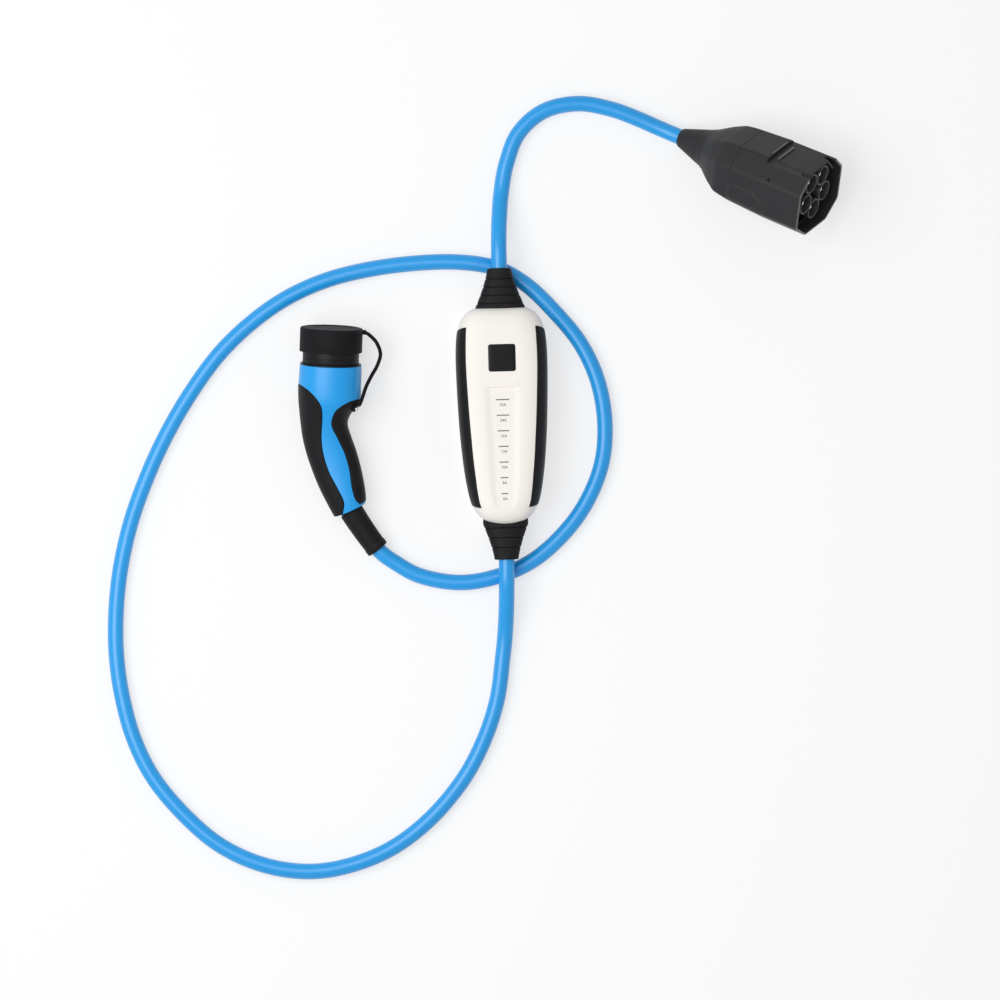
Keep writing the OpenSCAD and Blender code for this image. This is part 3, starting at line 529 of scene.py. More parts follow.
# %% Box surface
BOX_W, BOX_L, BOX_T, BOX_Y = 98.0, 236.0, 62.0, -2.1
WALL, GRIP_DEPTH, GRIP_PROUD = 2.6, 2.0, 0.5
HALF_OUTLINE = np.array([
    [0, 1], [0.37, 0.997], [0.63, 0.979], [0.827, 0.914], [0.949, 0.794], [1, 0.571],
    [0.988, 0.193], [0.939, -0.219], [0.847, -0.579], [0.714, -0.82], [0.49, -0.944],
    [0.245, -0.988], [0, -1]])
OUTLINE = np.concatenate([HALF_OUTLINE * [-1, 1], HALF_OUTLINE[-2:0:-1]])
SECTION = np.array([
    [7, 0], [3.2, 0.9], [1.1, 3], [0.2, 6.5], [0, 13], [0, 22], [0, 30], [0.1, 34.5], [0.5, 39],
    [1.9, 46.5], [4.5, 52.2], [7.6, 55.8], [10.35, 58], [14, 59.8], [19.5, 61.3], [26, 62],
    [30, 62]])
BAND_ROWS, SPLIT_ROW, GRIP_U = (4.0, 12.0), 6.0, (4.0, 9.0)
HALF_TURN = len(HALF_OUTLINE) - 1
EDGE_AT = [3.0, 3.5, 4, 4.5, 5, 6, 7, 8, 8.5, 9, 9.5, 10]
EDGE_INSET = [10.35, 5.0, 7.2, 9.8, 10.6, 11.6, 12.5, 12.2, 10.5, 6.8, 4.0, 10.35]
EDGE_ROWS, EDGE_REACH, EDGE_SPAN = np.arange(7, 16), (9.5, 15), np.linspace(-0.16, 0.16, 9)
# Middle, first and last place of each slanted end, then its lean in steps of u for each mm of inset
SLANTS = ((GRIP_U[1], 7.8, 10.8, 0.0735), (GRIP_U[0], 2.4, 5.2, -0.076))
SLANT_FULL, SLANT_OVER, SLANT_FADE = 8, 22, 8
NEAR = 0.02


def folded(u):
    """Place on the half outline that u is the mirror of."""
    return np.where(u > HALF_TURN, 2 * HALF_TURN - u, u)


def near_end(v, middle, low, high):
    """1 at the end of a grip, falling straight to 0 at low and high on either side of it."""
    return np.interp(v, [low, middle, high], [0, 1, 0])


def edge_shift(v):
    """Rows by which the grip's front edge departs from its usual row, at places v down a side.
    The inset of the edge comes from a table, smoothed over a third of a step."""
    inset = np.interp(v[..., None] + EDGE_SPAN, EDGE_AT, EDGE_INSET).mean(-1)
    return np.interp(inset, SECTION[EDGE_ROWS, 0], EDGE_ROWS) - BAND_ROWS[1]


def box_points(u, row, inward):
    """Points of the box: outline at u, section at row, moved in by inward along the section's
    normal. The outline is a share of the half width and half length left after the inset. Rows
    near the grip's front edge follow that edge, and u slides near the grip's slanted ends."""
    v = folded(u)[None, :]
    row = np.asarray(row, float)[:, None]
    row = row + edge_shift(v) * near_end(row, BAND_ROWS[1], *EDGE_REACH)
    q = smooth_curve(SECTION, row)
    run = unit(smooth_curve(SECTION, row + NEAR) - smooth_curve(SECTION, row - NEAR))
    slant = np.minimum(q[..., 0], SLANT_FULL) * np.clip((SLANT_OVER - q[..., 0]) / SLANT_FADE, 0, 1)
    slide = slant * sum(lean * near_end(v, *place) for *place, lean in SLANTS)
    f = closed_curve(OUTLINE, np.where(u > HALF_TURN, 2 * HALF_TURN - v - slide, v + slide))
    inset = q[..., 0] + inward * run[..., 1]
    z = q[..., 1] - inward * run[..., 0]
    return np.stack([f[..., 0] * (BOX_W / 2 - inset), BOX_Y + f[..., 1] * (BOX_L / 2 - inset), z], -1)


def grip_seat(u, row):
    """Depth of the seat that is let into the covers for a side grip, 0 outside it."""
    beside = (folded(u) > GRIP_U[0]) & (folded(u) < GRIP_U[1])
    within = (row > BAND_ROWS[0]) & (row < BAND_ROWS[1])
    return GRIP_DEPTH * (within[:, None] & beside[None, :])


print("box outline has", len(OUTLINE), "points and its section", len(SECTION))

# %% [markdown]
# ## Front cover
#
# The front is a flat crown with a tapering channel for the scale, cut off crisply at its upper
# end. A stack of rings alone would smear that edge, because rings never run straight across.
# So the middle of the front is a patch with straight rows, two of them on the channel's end,
# and rings run on from the border of the patch over the crown and down to the rim.

# %% Front cover
CHANNEL_DEPTH, CHANNEL_TOP, CHANNEL_BOTTOM = 1.4, 28.0, -101.0
CHANNEL_WIDE, CHANNEL_NARROW = (20.0, 15.3), (12.7, 8.0)
CHANNEL_STEP = 0.5
CRISP, CREASE = 0.012, 0.02


def channel_dip(x, y):
    """Depth of the channel: full between the narrow lines, easing to nothing at the wide lines,
    and cut off by a steep end half a millimetre long."""
    t = (CHANNEL_TOP - y) / (CHANNEL_TOP - CHANNEL_BOTTOM)
    narrow = CHANNEL_NARROW[0] + (CHANNEL_NARROW[1] - CHANNEL_NARROW[0]) * t
    wide = CHANNEL_WIDE[0] + (CHANNEL_WIDE[1] - CHANNEL_WIDE[0]) * t
    side = np.clip((wide - np.abs(x)) / (wide - narrow), 0, 1)
    side = 0.5 * side + 0.5 * smooth_step(side)
    end = np.clip((CHANNEL_TOP + CHANNEL_STEP - y) / CHANNEL_STEP, 0, 1)
    return CHANNEL_DEPTH * side * end


PATCH_ACROSS, ROWS_ABOVE, ROWS_BELOW = 44, 42, 99
PATCH_AT, PATCH_HALF = [75, 47, 14, -21, -53, -78], [14.6, 17.6, 17.6, 16.6, 14.9, 10.4]
patch_y = np.concatenate([np.linspace(PATCH_AT[0], CHANNEL_TOP + CHANNEL_STEP, ROWS_ABOVE),
                          np.linspace(CHANNEL_TOP, PATCH_AT[-1], ROWS_BELOW)])
patch_half = np.interp(-patch_y, np.negative(PATCH_AT), PATCH_HALF)
patch_x = patch_half[:, None] * np.linspace(-1, 1, PATCH_ACROSS + 1)
patch = np.stack([patch_x, np.broadcast_to(patch_y[:, None], patch_x.shape),
                  np.full(patch_x.shape, BOX_T)], -1)
number = np.arange(patch_x.size).reshape(patch_x.shape)
half_across = PATCH_ACROSS // 2
border = np.concatenate([
    number[0, half_across::-1], number[1:, 0], number[-1, 1:], number[-2::-1, -1],
    number[0, -2:half_across:-1]])

CORNER_U, TAIL_U = 3.0, 9.6
half_u = np.concatenate([
    np.linspace(0, CORNER_U, half_across, endpoint=False), np.linspace(CORNER_U, GRIP_U[0] - CRISP, 22),
    np.linspace(GRIP_U[0] + CRISP, GRIP_U[1] - CRISP, 105), np.linspace(GRIP_U[1] + CRISP, TAIL_U, 14),
    np.linspace(TAIL_U, HALF_TURN, half_across + 1)[1:]])
box_u = np.concatenate([half_u, 2 * HALF_TURN - half_u[-2:0:-1]])
# The rim stops a little short of the split, where the seal lies
TOP_ROW, RIM_STEP = len(SECTION) - 1, 0.057
CROWN_RINGS, WALL_RINGS = 24, 40
band_top = np.array([BAND_ROWS[1] - CREASE, BAND_ROWS[1] + CREASE])
front_rows = np.concatenate([np.linspace(TOP_ROW, band_top[1], CROWN_RINGS),
                             np.linspace(band_top[0], SPLIT_ROW + RIM_STEP, WALL_RINGS)])
inner_rows = np.array([SPLIT_ROW + RIM_STEP, 8, 10, *band_top, 14, TOP_ROW])
outer_rings = box_points(box_u, front_rows, grip_seat(box_u, front_rows))
inner_rings = box_points(box_u, inner_rows, WALL + grip_seat(box_u, inner_rows))
flat_border = patch.reshape(-1, 3)[border]
shares = np.array([1 / 3, 2 / 3])[:, None, None]
between = flat_border + (outer_rings[0] - flat_border) * shares
rings = np.concatenate([between, outer_rings, inner_rings])

front_points = np.concatenate([patch.reshape(-1, 3), rings.reshape(-1, 3)])
on_front = np.arange(len(front_points)) < patch_x.size + (len(shares) + CROWN_RINGS) * len(box_u)
floor_of_channel = BOX_T - channel_dip(front_points[:, 0], front_points[:, 1])
front_points[:, 2] = np.where(
    on_front, np.minimum(front_points[:, 2], floor_of_channel), front_points[:, 2])
first_ring = patch_x.size + np.arange(len(box_u))
join = np.stack([border, np.roll(border, -1), np.roll(first_ring, -1), first_ring], -1)
last_ring = len(front_points) - len(box_u) + np.arange(len(box_u))
front_points = np.concatenate([front_points, [[0, BOX_Y, BOX_T - WALL]]])
front_faces = [
    cells(*patch_x.shape, close_columns=False)[:, ::-1], join[:, ::-1],
    patch_x.size + cells(len(rings), len(box_u))[:, ::-1],
    fan(len(front_points) - 1, last_ring)[:, ::-1]]
front_cover = make_piece("front_cover_moulding", (front_points, front_faces), "housing",
                         ["front_cover"], sharp=30)

# %% [markdown]
# ## Openings in the covers
#
# Each boot comes out through a squared oval in the end of both covers, and the badge sits in
# a shallow pocket. These edges cross the grid, so they are cut out with solids of their own:
# the oval of the boot's own root, and a rounded square.

# %% Rounded outlines and cutters
BOOT_HALF, BOOT_SQUARE, CHARGE_SHARE = np.array([27.2, 14.5]), 0.8, 0.9
BOOT_PLAY, BOOT_COLUMNS, SUPPLY_CUT, CHARGE_CUT = 0.15, 112, (90, 160), (-160, -95)


def rounded_outline(half_x, half_y, corner, count):
    """Rectangle with round corners as a ring of 2-D points: four quarter circles, whose middles
    lie a corner radius in from the corners."""
    quarter = np.linspace(0, np.pi / 2, count)
    start = np.arange(4)[:, None] * np.pi / 2
    middle = np.array([[1, 1], [-1, 1], [-1, -1], [1, -1]]) * [half_x - corner, half_y - corner]
    return (middle[:, None] + corner * circle_at(start + quarter)).reshape(-1, 2)


def rectangle(across, up):
    """Corners of a rectangle in turn, from its (low, high) limits across and up."""
    (left, right), (low, high) = across, up
    return np.array([[left, low], [right, low], [right, high], [left, high]], float)


def prism(outline, low, high, axis):
    """Outline carried straight along an axis, from low to high."""
    rings = [np.insert(outline, axis, level, axis=1) for level in (low, high)]
    return loft(np.array(rings))


def signed_power(v, power):
    """Power of the size of v, with the sign of v."""
    return np.sign(v) * np.abs(v) ** power


def boot_opening(share, y_from, y_to):
    """Cutter for a boot: its oval, scaled by a share, along Y at the height of the cord. The
    oval has the sine across and the cosine up, each to the same power below 1."""
    half, angle = BOOT_HALF * share + BOOT_PLAY, turns(BOOT_COLUMNS)
    oval = np.stack([np.sin(angle), -np.cos(angle)], -1)
    return prism(signed_power(oval, BOOT_SQUARE) * half + [0, CORD_Z], y_from, y_to, 1)


boot_cutters = [boot_opening(1.0, *SUPPLY_CUT), boot_opening(CHARGE_SHARE, *CHARGE_CUT)]
BADGE_HALF, BADGE_CORNER, BADGE_AT = 14.7, 2.7, np.array([0.5, 60.2])
BADGE_PLAY, POCKET_DEEP = 0.1, 1.2
pocket_half = BADGE_HALF + BADGE_PLAY
badge_pocket = prism(
    rounded_outline(pocket_half, pocket_half, BADGE_CORNER + BADGE_PLAY, 9) + BADGE_AT,
    BOX_T - POCKET_DEEP, BOX_T + 3, 2)
for cutter in boot_cutters + [badge_pocket]:
    carve(front_cover, cutter, 30)

# %% [markdown]
# ## Rear cover and its screws
#
# The back is plain, as on such boxes: a flat face with six deep screw seats, and upright walls
# that carry the lower half of the side grips. Rings run from the rim down the wall, round the
# lower edge and across the flat face; a second set inside gives the wall its thickness.

# %% Rear cover
BACK_SHARES, INSIDE_SHARES = np.array([0.97, 0.85, 0.6, 0.3]), np.array([0.3, 0.7])
band_low = np.array([BAND_ROWS[0] - CREASE / 2, BAND_ROWS[0] + CREASE / 2])
rear_rows = np.concatenate([
    np.linspace(SPLIT_ROW - RIM_STEP, band_low[1], 12), np.linspace(band_low[0], 0, 26)])
rear_inner = np.array([0, 1.5, 3, *band_low, SPLIT_ROW - RIM_STEP])
rear_outer_rings = box_points(box_u, rear_rows, grip_seat(box_u, rear_rows))
rear_inner_rings = box_points(box_u, rear_inner, WALL + grip_seat(box_u, rear_inner))
rear_inner_rings[0, :, 2] = WALL
flat_back = rear_outer_rings[-1] * [1, 1, 0]
centre = np.array([0, BOX_Y, 0])
back_rings = centre + (flat_back - centre) * BACK_SHARES[:, None, None]
inner_floor = (rear_inner_rings[0] - centre) * [1, 1, 0]
inside_rings = INSIDE_SHARES[:, None, None] * inner_floor + centre + [0, 0, WALL]
rear_solid = loft(np.concatenate(
    [inside_rings, rear_inner_rings, rear_outer_rings, back_rings]))
rear_cover = make_piece("rear_cover_moulding", rear_solid, "housing", ["rear_cover"], sharp=30)
for cutter in boot_cutters:
    carve(rear_cover, cutter, 30)

SCREW_SPOTS = np.array([[28, 78], [-28, 78], [28, -12], [-28, -12], [19.5, -86], [-19.5, -86]])
SEAT_R, SEAT_DEEP, HEAD_R, HEAD_FACE, SOCKET_R = 3.9, 6.0, 3.6, 3.2, 1.7
for spot in SCREW_SPOTS:
    carve(rear_cover, prism(spot + SEAT_R * circle_at(turns(40)), -1, SEAT_DEEP, 2), 30)


def screw_head(spot):
    """Round head seen from below: a ring profile from the rim over a rounded edge to the middle,
    with a six-sided socket sunk in its face."""
    angle = turns(48)
    hex_r = SOCKET_R / np.cos(np.mod(angle, np.pi / 3) - np.pi / 6)
    sizes = [(HEAD_R, SEAT_DEEP), (HEAD_R, HEAD_FACE + 0.5), (HEAD_R - 0.15, HEAD_FACE + 0.15),
             (HEAD_R - 0.5, HEAD_FACE), (hex_r + 0.12, HEAD_FACE), (hex_r, HEAD_FACE + 0.1),
             (hex_r, HEAD_FACE + 1.7)]
    rings = [np.insert(spot + np.broadcast_to(r, angle.shape)[:, None] * circle_at(angle), 2, z, axis=1)
             for r, z in sizes]
    return loft(np.array(rings))


make_piece("cover_screw_heads", gathered(*[screw_head(p) for p in SCREW_SPOTS]), "steel", ["cover_screws"])

# %% [markdown]
# ## Side grips
#
# A soft black grip is let into each long side. It fills its seat, stands half a millimetre
# proud and has a rounded edge all round, which is what makes it read as a separate moulding.
# The grip is a sheet over the same box surface: its outer skin swells from below the cover
# at the border to its full height a little way in, and its inner skin lies in the seat.

# %% Side grips
PACKED = 0.65


def edge_clustered(low, high, count):
    """Values from low to high, packed closer toward both ends: a straight ramp and an eased one
    in fixed shares."""
    t = np.linspace(0, 1, count)
    return low + (high - low) * ((1 - PACKED) * t + PACKED * smooth_step(t))


def pillow(values, margin):
    """0 at both ends of a range and 1 from a margin inward, along a quarter circle."""
    return quarter_round(np.minimum(values - values[0], values[-1] - values) / margin)


EDGE_SUNK, SEAT_GAP = 0.35, 0.02
U_PLAY, ROW_PLAY, U_MARGIN, ROW_MARGIN = 0.02, 0.04, 0.07, 0.5
grip_u = edge_clustered(GRIP_U[0] + U_PLAY, GRIP_U[1] - U_PLAY, 150)
grip_rows = edge_clustered(BAND_ROWS[0] + ROW_PLAY, BAND_ROWS[1] - ROW_PLAY, 70)
swell = pillow(grip_rows, ROW_MARGIN)[:, None] * pillow(grip_u, U_MARGIN)[None, :]
grip_outward = -EDGE_SUNK + (GRIP_PROUD + EDGE_SUNK) * swell
for name, u, node in (("left_side_grip", grip_u, "left_grip"),
                      ("right_side_grip", 2 * HALF_TURN - grip_u, "right_grip")):
    skin = slab(box_points(u, grip_rows, -grip_outward),
                box_points(u, grip_rows, np.full(swell.shape, GRIP_DEPTH - SEAT_GAP)))
    make_piece(name, skin, "soft_grip", [node])

# %% [markdown]
# ## Badge plate
#
# The badge is a gloss black plate, let into the front. It stays bare. Gloss shows only at its
# edges and in reflections, so its face is very slightly crowned and its rim is rounded.

# %% Badge plate
badge_steps = [(0, -1.17), (0, -0.1), (0.12, 0.08), (0.35, 0.17), (1.2, 0.22), (4, 0.26), (8, 0.28)]
badge_rings = np.array([
    np.insert(rounded_outline(BADGE_HALF - inset, BADGE_HALF - inset, max(BADGE_CORNER - inset, 0.3), 12)
              + BADGE_AT, 2, BOX_T + lift, axis=1) for inset, lift in badge_steps])
make_piece("badge_plate_gloss", loft(badge_rings), "badge", ["badge_plate"])

# %% [markdown]
# ## Scale in the channel
#
# Seven short bars, wider toward the top, mark the charging current, each with its value in
# amperes below it. They are printed, so they are flat: bars and figures only a few hundredths
# of a millimetre thick on the floor of the channel. Figures start as text objects, because
# letters aren't worth drawing by hand, and become meshes before they are put in place.

# %% Scale bars and figures
BAR_Y = [15.2, -1.6, -18.4, -35.2, -52.1, -68.9, -86.0]
BAR_W = np.linspace(14.8, 7.2, 7)
BAR_H, FIGURE_SIZE, FIGURE_X, FIGURE_DROP = 1.2, 4.3, 0.3, 6.9
VALUES = [32, 24, 16, 13, 10, 8, 6]
PRINT_Z, PRINT_T, STROKE_GROW = BOX_T - CHANNEL_DEPTH + 0.01, 0.05, 0.05


def figure_mesh(text, middle, z):
    """Flat letters as points and triangles: text filled by the font, centred on a point."""
    curve = bpy.data.curves.new("figure", "FONT")
    curve.body, curve.size, curve.align_x = text, FIGURE_SIZE * MM, "CENTER"
    curve.extrude, curve.offset = PRINT_T / 2 * MM, STROKE_GROW * MM
    figure = bpy.data.objects.new("figure", curve)
    scene.collection.objects.link(figure)
    mesh = bpy.data.meshes.new_from_object(
        figure.evaluated_get(bpy.context.evaluated_depsgraph_get()))
    bpy.data.objects.remove(figure)
    mesh.transform(Matrix.Translation(Vector((*middle, z)) * MM))
    return mesh


bars = gathered(*[
    prism(rounded_outline(w / 2, BAR_H / 2, 0.2, 4) + [0, y], PRINT_Z, PRINT_Z + PRINT_T, 2)
    for y, w in zip(BAR_Y, BAR_W)])
make_piece("scale_bars", bars, "badge", finish="ink")
for y, value in zip(BAR_Y, VALUES):
    figure = bpy.data.objects.new(
        f"scale_figure_{value}",
        figure_mesh(f"{value}A", (FIGURE_X, y - FIGURE_DROP), PRINT_Z + PRINT_T / 2))
    scene.collection.objects.link(figure)
    figure.data.materials.append(finishes["ink"])
    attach(figure, CHARGER)
print("scale figures", VALUES)

# %% [markdown]
# ## Ribbed boots
#
# A rubber boot guides each cord out of the box. Its section goes from a flat-sided oval to
# nearly a circle, and narrow grooves run round it so that it can bend. A boot is a pipe: the
# rings go from the flange inside the covers out to the tip, dipping at each groove, turn over
# the rounded tip and come back along the bore.

# %% Boots
BOOT_TIP, BOOT_EASE, FLANGE_L, ROOT_L, BORE_ROWS = np.array([13.0, 12.4]), 1.35, 8.0, 1.5, 6
GROOVE_DEPTH, GROOVE_WIDTH, GROOVES_FROM, GROOVES_SPAN = 0.9, 0.026, 0.1, 0.82
TIP_ROUND, TIP_SPAN, BORE_PLAY = 1.6, 0.035, 0.3


def groove(f, start, width, depth):
    """Round-bottomed groove across f: half a sine from start to start plus width."""
    t = np.clip((f - start) / width, 0, 1)
    return depth * np.sin(np.pi * t) ** 0.6


def boot_skin(y_from, y_to, share, ribs):
    """Boot from y_from to y_to: half sizes ease from the oval to the tip as 1 less a power of
    what is left, less the grooves, with squared cosines and sines round the section."""
    end = np.sign(y_to - y_from)
    f = np.concatenate([np.linspace(0, 0.97, 260), [0.98, 0.988, 0.995, 0.999]])
    ease = 1 - (1 - f) ** BOOT_EASE
    half = BOOT_HALF * share + (BOOT_TIP - BOOT_HALF * share) * ease[:, None]
    less = sum(groove(f, GROOVES_FROM + k * GROOVES_SPAN / ribs, GROOVE_WIDTH, GROOVE_DEPTH)
               for k in range(ribs))
    less = less + TIP_ROUND * (1 - quarter_round((1 - f) / TIP_SPAN))
    half = half - less[:, None]
    bore = np.full((BORE_ROWS, 2), CORD_D / 2 + BORE_PLAY)
    bore[0] += 0.5
    half = np.concatenate([half[:1] - 0.2, half[:1], half, bore])
    flange_y = y_from - end * FLANGE_L
    y = np.concatenate([[flange_y, y_from - end * 0.5], y_from + (y_to - y_from) * f,
                        np.linspace(y_to, flange_y, BORE_ROWS)])
    square = np.where(np.arange(len(y)) < len(y) - BORE_ROWS, BOOT_SQUARE, 1.0)[:, None]
    angle = turns(BOOT_COLUMNS)[None, :]
    x = signed_power(np.sin(angle), square) * half[:, :1]
    z = CORD_Z - signed_power(np.cos(angle), square) * half[:, 1:]
    return pipe(np.stack([x, np.broadcast_to(y[:, None], x.shape), z], -1))


make_piece("supply_boot_ribbed", boot_skin(SUPPLY_END_Y - ROOT_L, SUPPLY_TIP_Y, 1.0, 4), "boot",
           ["supply_boot"])
make_piece("charge_boot_ribbed", boot_skin(CHARGE_END_Y + ROOT_L, CHARGE_TIP_Y, CHARGE_SHARE, 3), "boot",
           ["charge_boot"])

# %% [markdown]
# ## Vehicle connector: the handle
#
# The handle is a curved grip: round where it meets the nose, a flattened oval where the hand
# holds it. Sections across it run from the spine to the finger side. Each is a soft rectangle
# between those two points, and the smooth curve through the table of sections fills in the
# rest. Two soft grips are let in, and their edges are columns of the grid, so they stay crisp.

# %% Handle surface
HANDLE_FRONT = 2.5
HANDLE = np.array([
    [-33.4, HANDLE_FRONT, 33.4, HANDLE_FRONT, 33.4, 0.47, 0.684],
    [-34, -18, 33.6, -18, 33.6, 0.47, 0.684], [-33.3, -36, 33, -36.5, 32, 0.47, 0.684],
    [-31.7, -50, 23.4, -49.5, 27, 0.47, 0.668], [-30, -62.5, 20, -61, 23.5, 0.465, 0.673],
    [-27.3, -78, 24.6, -75.5, 21, 0.395, 0.735], [-22.4, -95.5, 30.6, -91, 19.6, 0.345, 0.774],
    [-15.2, -114.5, 36, -108.5, 19, 0.345, 0.77], [-6.9, -133, 40, -125.5, 19, 0.41, 0.729],
    [2.7, -150.5, 42.2, -138.5, 18.4, 0.432, 0.74], [9.8, -162.5, 42.5, -146.5, 17, 0.27, 0.9]])
HANDLE_SQUARE, HANDLE_DENT, HANDLE_PROUD = 2.2, 1.6, 0.5
SPINE_RANGE, FINGER_RANGE = (1.05, 9.97), (1.77, 9.6)
SPINE_ARC, FINGER_ARC = (3.6, 2.56, 0.62), (2.6, 0.85, 0.5)
EDGE_GAP, LEAST_SHARE = math.radians(0.5), 0.03
HANDLE_END, HOLLOW_U, STEPS_PER_SECTION = len(HANDLE) - 1, 3, 22
TAIL_ROUND, TAIL_SPAN, FRONT_ROUND, FRONT_SPAN = 1.4, 0.1, 0.7, 0.05


def handle_points(u, angle, inward):
    """Points of the handle: section at u, angle round it from the spine. A section is a
    superellipse, with cosine and sine to the power 2 over the squareness, moved in evenly."""
    s = smooth_curve(HANDLE, u)[:, None]
    spine, finger = s[..., 0:2], s[..., 2:4]
    half = np.linalg.norm(finger - spine, axis=-1) / 2
    along = unit(finger - spine)
    c = signed_power(np.cos(angle), 2 / HANDLE_SQUARE)
    z = (s[..., 4] - inward) * signed_power(np.sin(angle), 2 / HANDLE_SQUARE)
    plan = (spine + finger) / 2 - along * ((half - inward) * c)[..., None]
    return from_gun(np.concatenate([plan, z[..., None]], -1))


def round_end(u, full_at, reach, power):
    """Rounded end of a grip: 0 at its tip and 1 from full_at on, as a power of 1 less the square
    of what is left of its reach."""
    left = np.clip((full_at - u) / reach, 0, 1)
    return (1 - left**2) ** power


def grip_edges(u):
    """Angles, from the spine, where the spine grip ends and the finger grip starts: the share of
    the way across turned back into an angle of the superellipse. Both grips narrow to a rounded
    upper end."""
    spine, finger = smooth_curve(HANDLE, u)[:, 5:7].T
    spine = np.maximum(spine * round_end(u, *SPINE_ARC), LEAST_SHARE)
    finger = np.minimum(1 - (1 - finger) * round_end(u, *FINGER_ARC), 1 - LEAST_SHARE)
    share = np.stack([spine, finger], -1)
    return np.arccos(signed_power(1 - 2 * share, HANDLE_SQUARE / 2))


def spread(start, stop, count):
    """Rows of evenly spaced values, each row from its own start to its own stop."""
    return start[:, None] + (stop - start)[:, None] * np.linspace(0, 1, count)


def crisp_steps(*stops):
    """Fine steps between stops, with a close pair of steps about each inner stop."""
    parts = []
    for k, (a, b) in enumerate(zip(stops[:-1], stops[1:])):
        low = a + CRISP * (k > 0)
        high = b - CRISP * (k < len(stops) - 2)
        parts.append(np.linspace(low, high, max(4, int((high - low) * STEPS_PER_SECTION))))
    return np.concatenate(parts)


handle_u = crisp_steps(0, SPINE_RANGE[0], FINGER_RANGE[0], HOLLOW_U, FINGER_RANGE[1], SPINE_RANGE[1],
                       HANDLE_END)
edge_a, edge_b = grip_edges(handle_u).T
spine_cols, side_cols, finger_cols = 44, 30, 34
handle_angle = np.concatenate([
    spread(-edge_a + EDGE_GAP, edge_a - EDGE_GAP, spine_cols),
    spread(edge_a + EDGE_GAP, edge_b - EDGE_GAP, side_cols),
    spread(edge_b + EDGE_GAP, 2 * np.pi - edge_b - EDGE_GAP, finger_cols),
    spread(2 * np.pi - edge_b + EDGE_GAP, 2 * np.pi - edge_a - EDGE_GAP, side_cols)], 1)
in_spine = (handle_u > SPINE_RANGE[0]) & (handle_u < SPINE_RANGE[1])
in_finger = (handle_u > FINGER_RANGE[0]) & (handle_u < FINGER_RANGE[1])
seat = np.zeros(handle_angle.shape)
seat[:, :spine_cols] = HANDLE_DENT * in_spine[:, None]
seat[:, spine_cols + side_cols:spine_cols + side_cols + finger_cols] = HANDLE_DENT * in_finger[:, None]
round_tail = TAIL_ROUND * (1 - quarter_round((HANDLE_END - handle_u) / TAIL_SPAN))
round_front = FRONT_ROUND * (1 - quarter_round(handle_u / FRONT_SPAN))
handle_rings = handle_points(handle_u, handle_angle, seat + (round_tail + round_front)[:, None])
handle = make_piece("handle_moulding", loft(handle_rings), "handle", ["handle_body"], sharp=30)

# %% [markdown]
# ## Seats in the handle
#
# The shank of the nose sits in the front of the handle and the spigot of the sleeve in its
# tail. Both seats are cut from solids that are a tenth of a millimetre larger than what sits
# in them, as in the CAD.

# %% Nose outline and seats
NOSE_R, NOSE_FLAT, NOSE_SHIFT, NOSE_TIP = 31.0, 30.1, -0.6, 39.5
SHANK_LESS, SHANK_L, NOSE_FROM = 2.5, 34.0, 4.0
NOSE_COLUMNS, NOSE_SOFT, PAD_HALF, PAD_EDGE = 240, 70, 9.4, 0.8
SEAT_PLAY, SPIGOT_T, SPIGOT_S = 0.1, 3.0, np.array([-15.0, -5, 0, 6, 14])


def nose_ring(y, grow, pad=0.0):
    """Ring round the nose at y: a circle with one flat toward the spine, grown by grow. The
    circle and the flat meet in a soft minimum, so the corner is rounded. A pad on the middle of
    the flat stands proud by pad."""
    angle = turns(NOSE_COLUMNS)
    toward = np.maximum(-np.cos(angle), 1e-3)
    r, flat = NOSE_R + grow, (NOSE_FLAT + grow) / toward
    radius = (r**-NOSE_SOFT + flat**-NOSE_SOFT) ** (-1 / NOSE_SOFT)
    beside = np.abs(np.tan(angle)) * (NOSE_FLAT + grow)
    on_pad = (np.cos(angle) < 0) * smooth_step((PAD_HALF - beside) / PAD_EDGE)
    radius = radius + on_pad * pad
    x, z = (radius[:, None] * circle_at(angle)).T
    return np.stack([x + NOSE_SHIFT, np.full_like(x, y), z], -1)


def nose_skin(rows):
    """Closed skin over nose rings, one for each row of y, grow and perhaps pad, in the frame."""
    return loft(from_gun(np.array([nose_ring(*row) for row in rows])))


shank_seat = [(y, SEAT_PLAY - SHANK_LESS) for y in (-SHANK_L - SEAT_PLAY, HANDLE_FRONT + 1)]
carve(handle, nose_skin(shank_seat), 30)
spigot_line = from_gun(sleeve_line(SPIGOT_S)[0])
carve(handle, loft(tube_rings(spigot_line, CORD_D / 2 + SPIGOT_T + SEAT_PLAY, 48)), 30)

# %% [markdown]
# ## Soft grips on the handle
#
# The two black grips are made like those on the box: a sheet with a swelling outer skin over
# the same handle surface. The spine grip wraps the back of the hand grip, and the finger grip
# lines the hollow under the nose.

# %% Handle grips
SIDE_PLAY, END_PLAY, SIDE_MARGIN, END_MARGIN = 1.5 * EDGE_GAP, 0.02, 1.6, 0.1


def spine_span(u):
    """First and last angle of the spine grip at each u, the same on both sides of the spine."""
    edge = grip_edges(u)[:, 0] - SIDE_PLAY
    return -edge, edge


def finger_span(u):
    """First and last angle of the finger grip at each u, round the side away from the spine."""
    edge = grip_edges(u)[:, 1] + SIDE_PLAY
    return edge, 2 * np.pi - edge


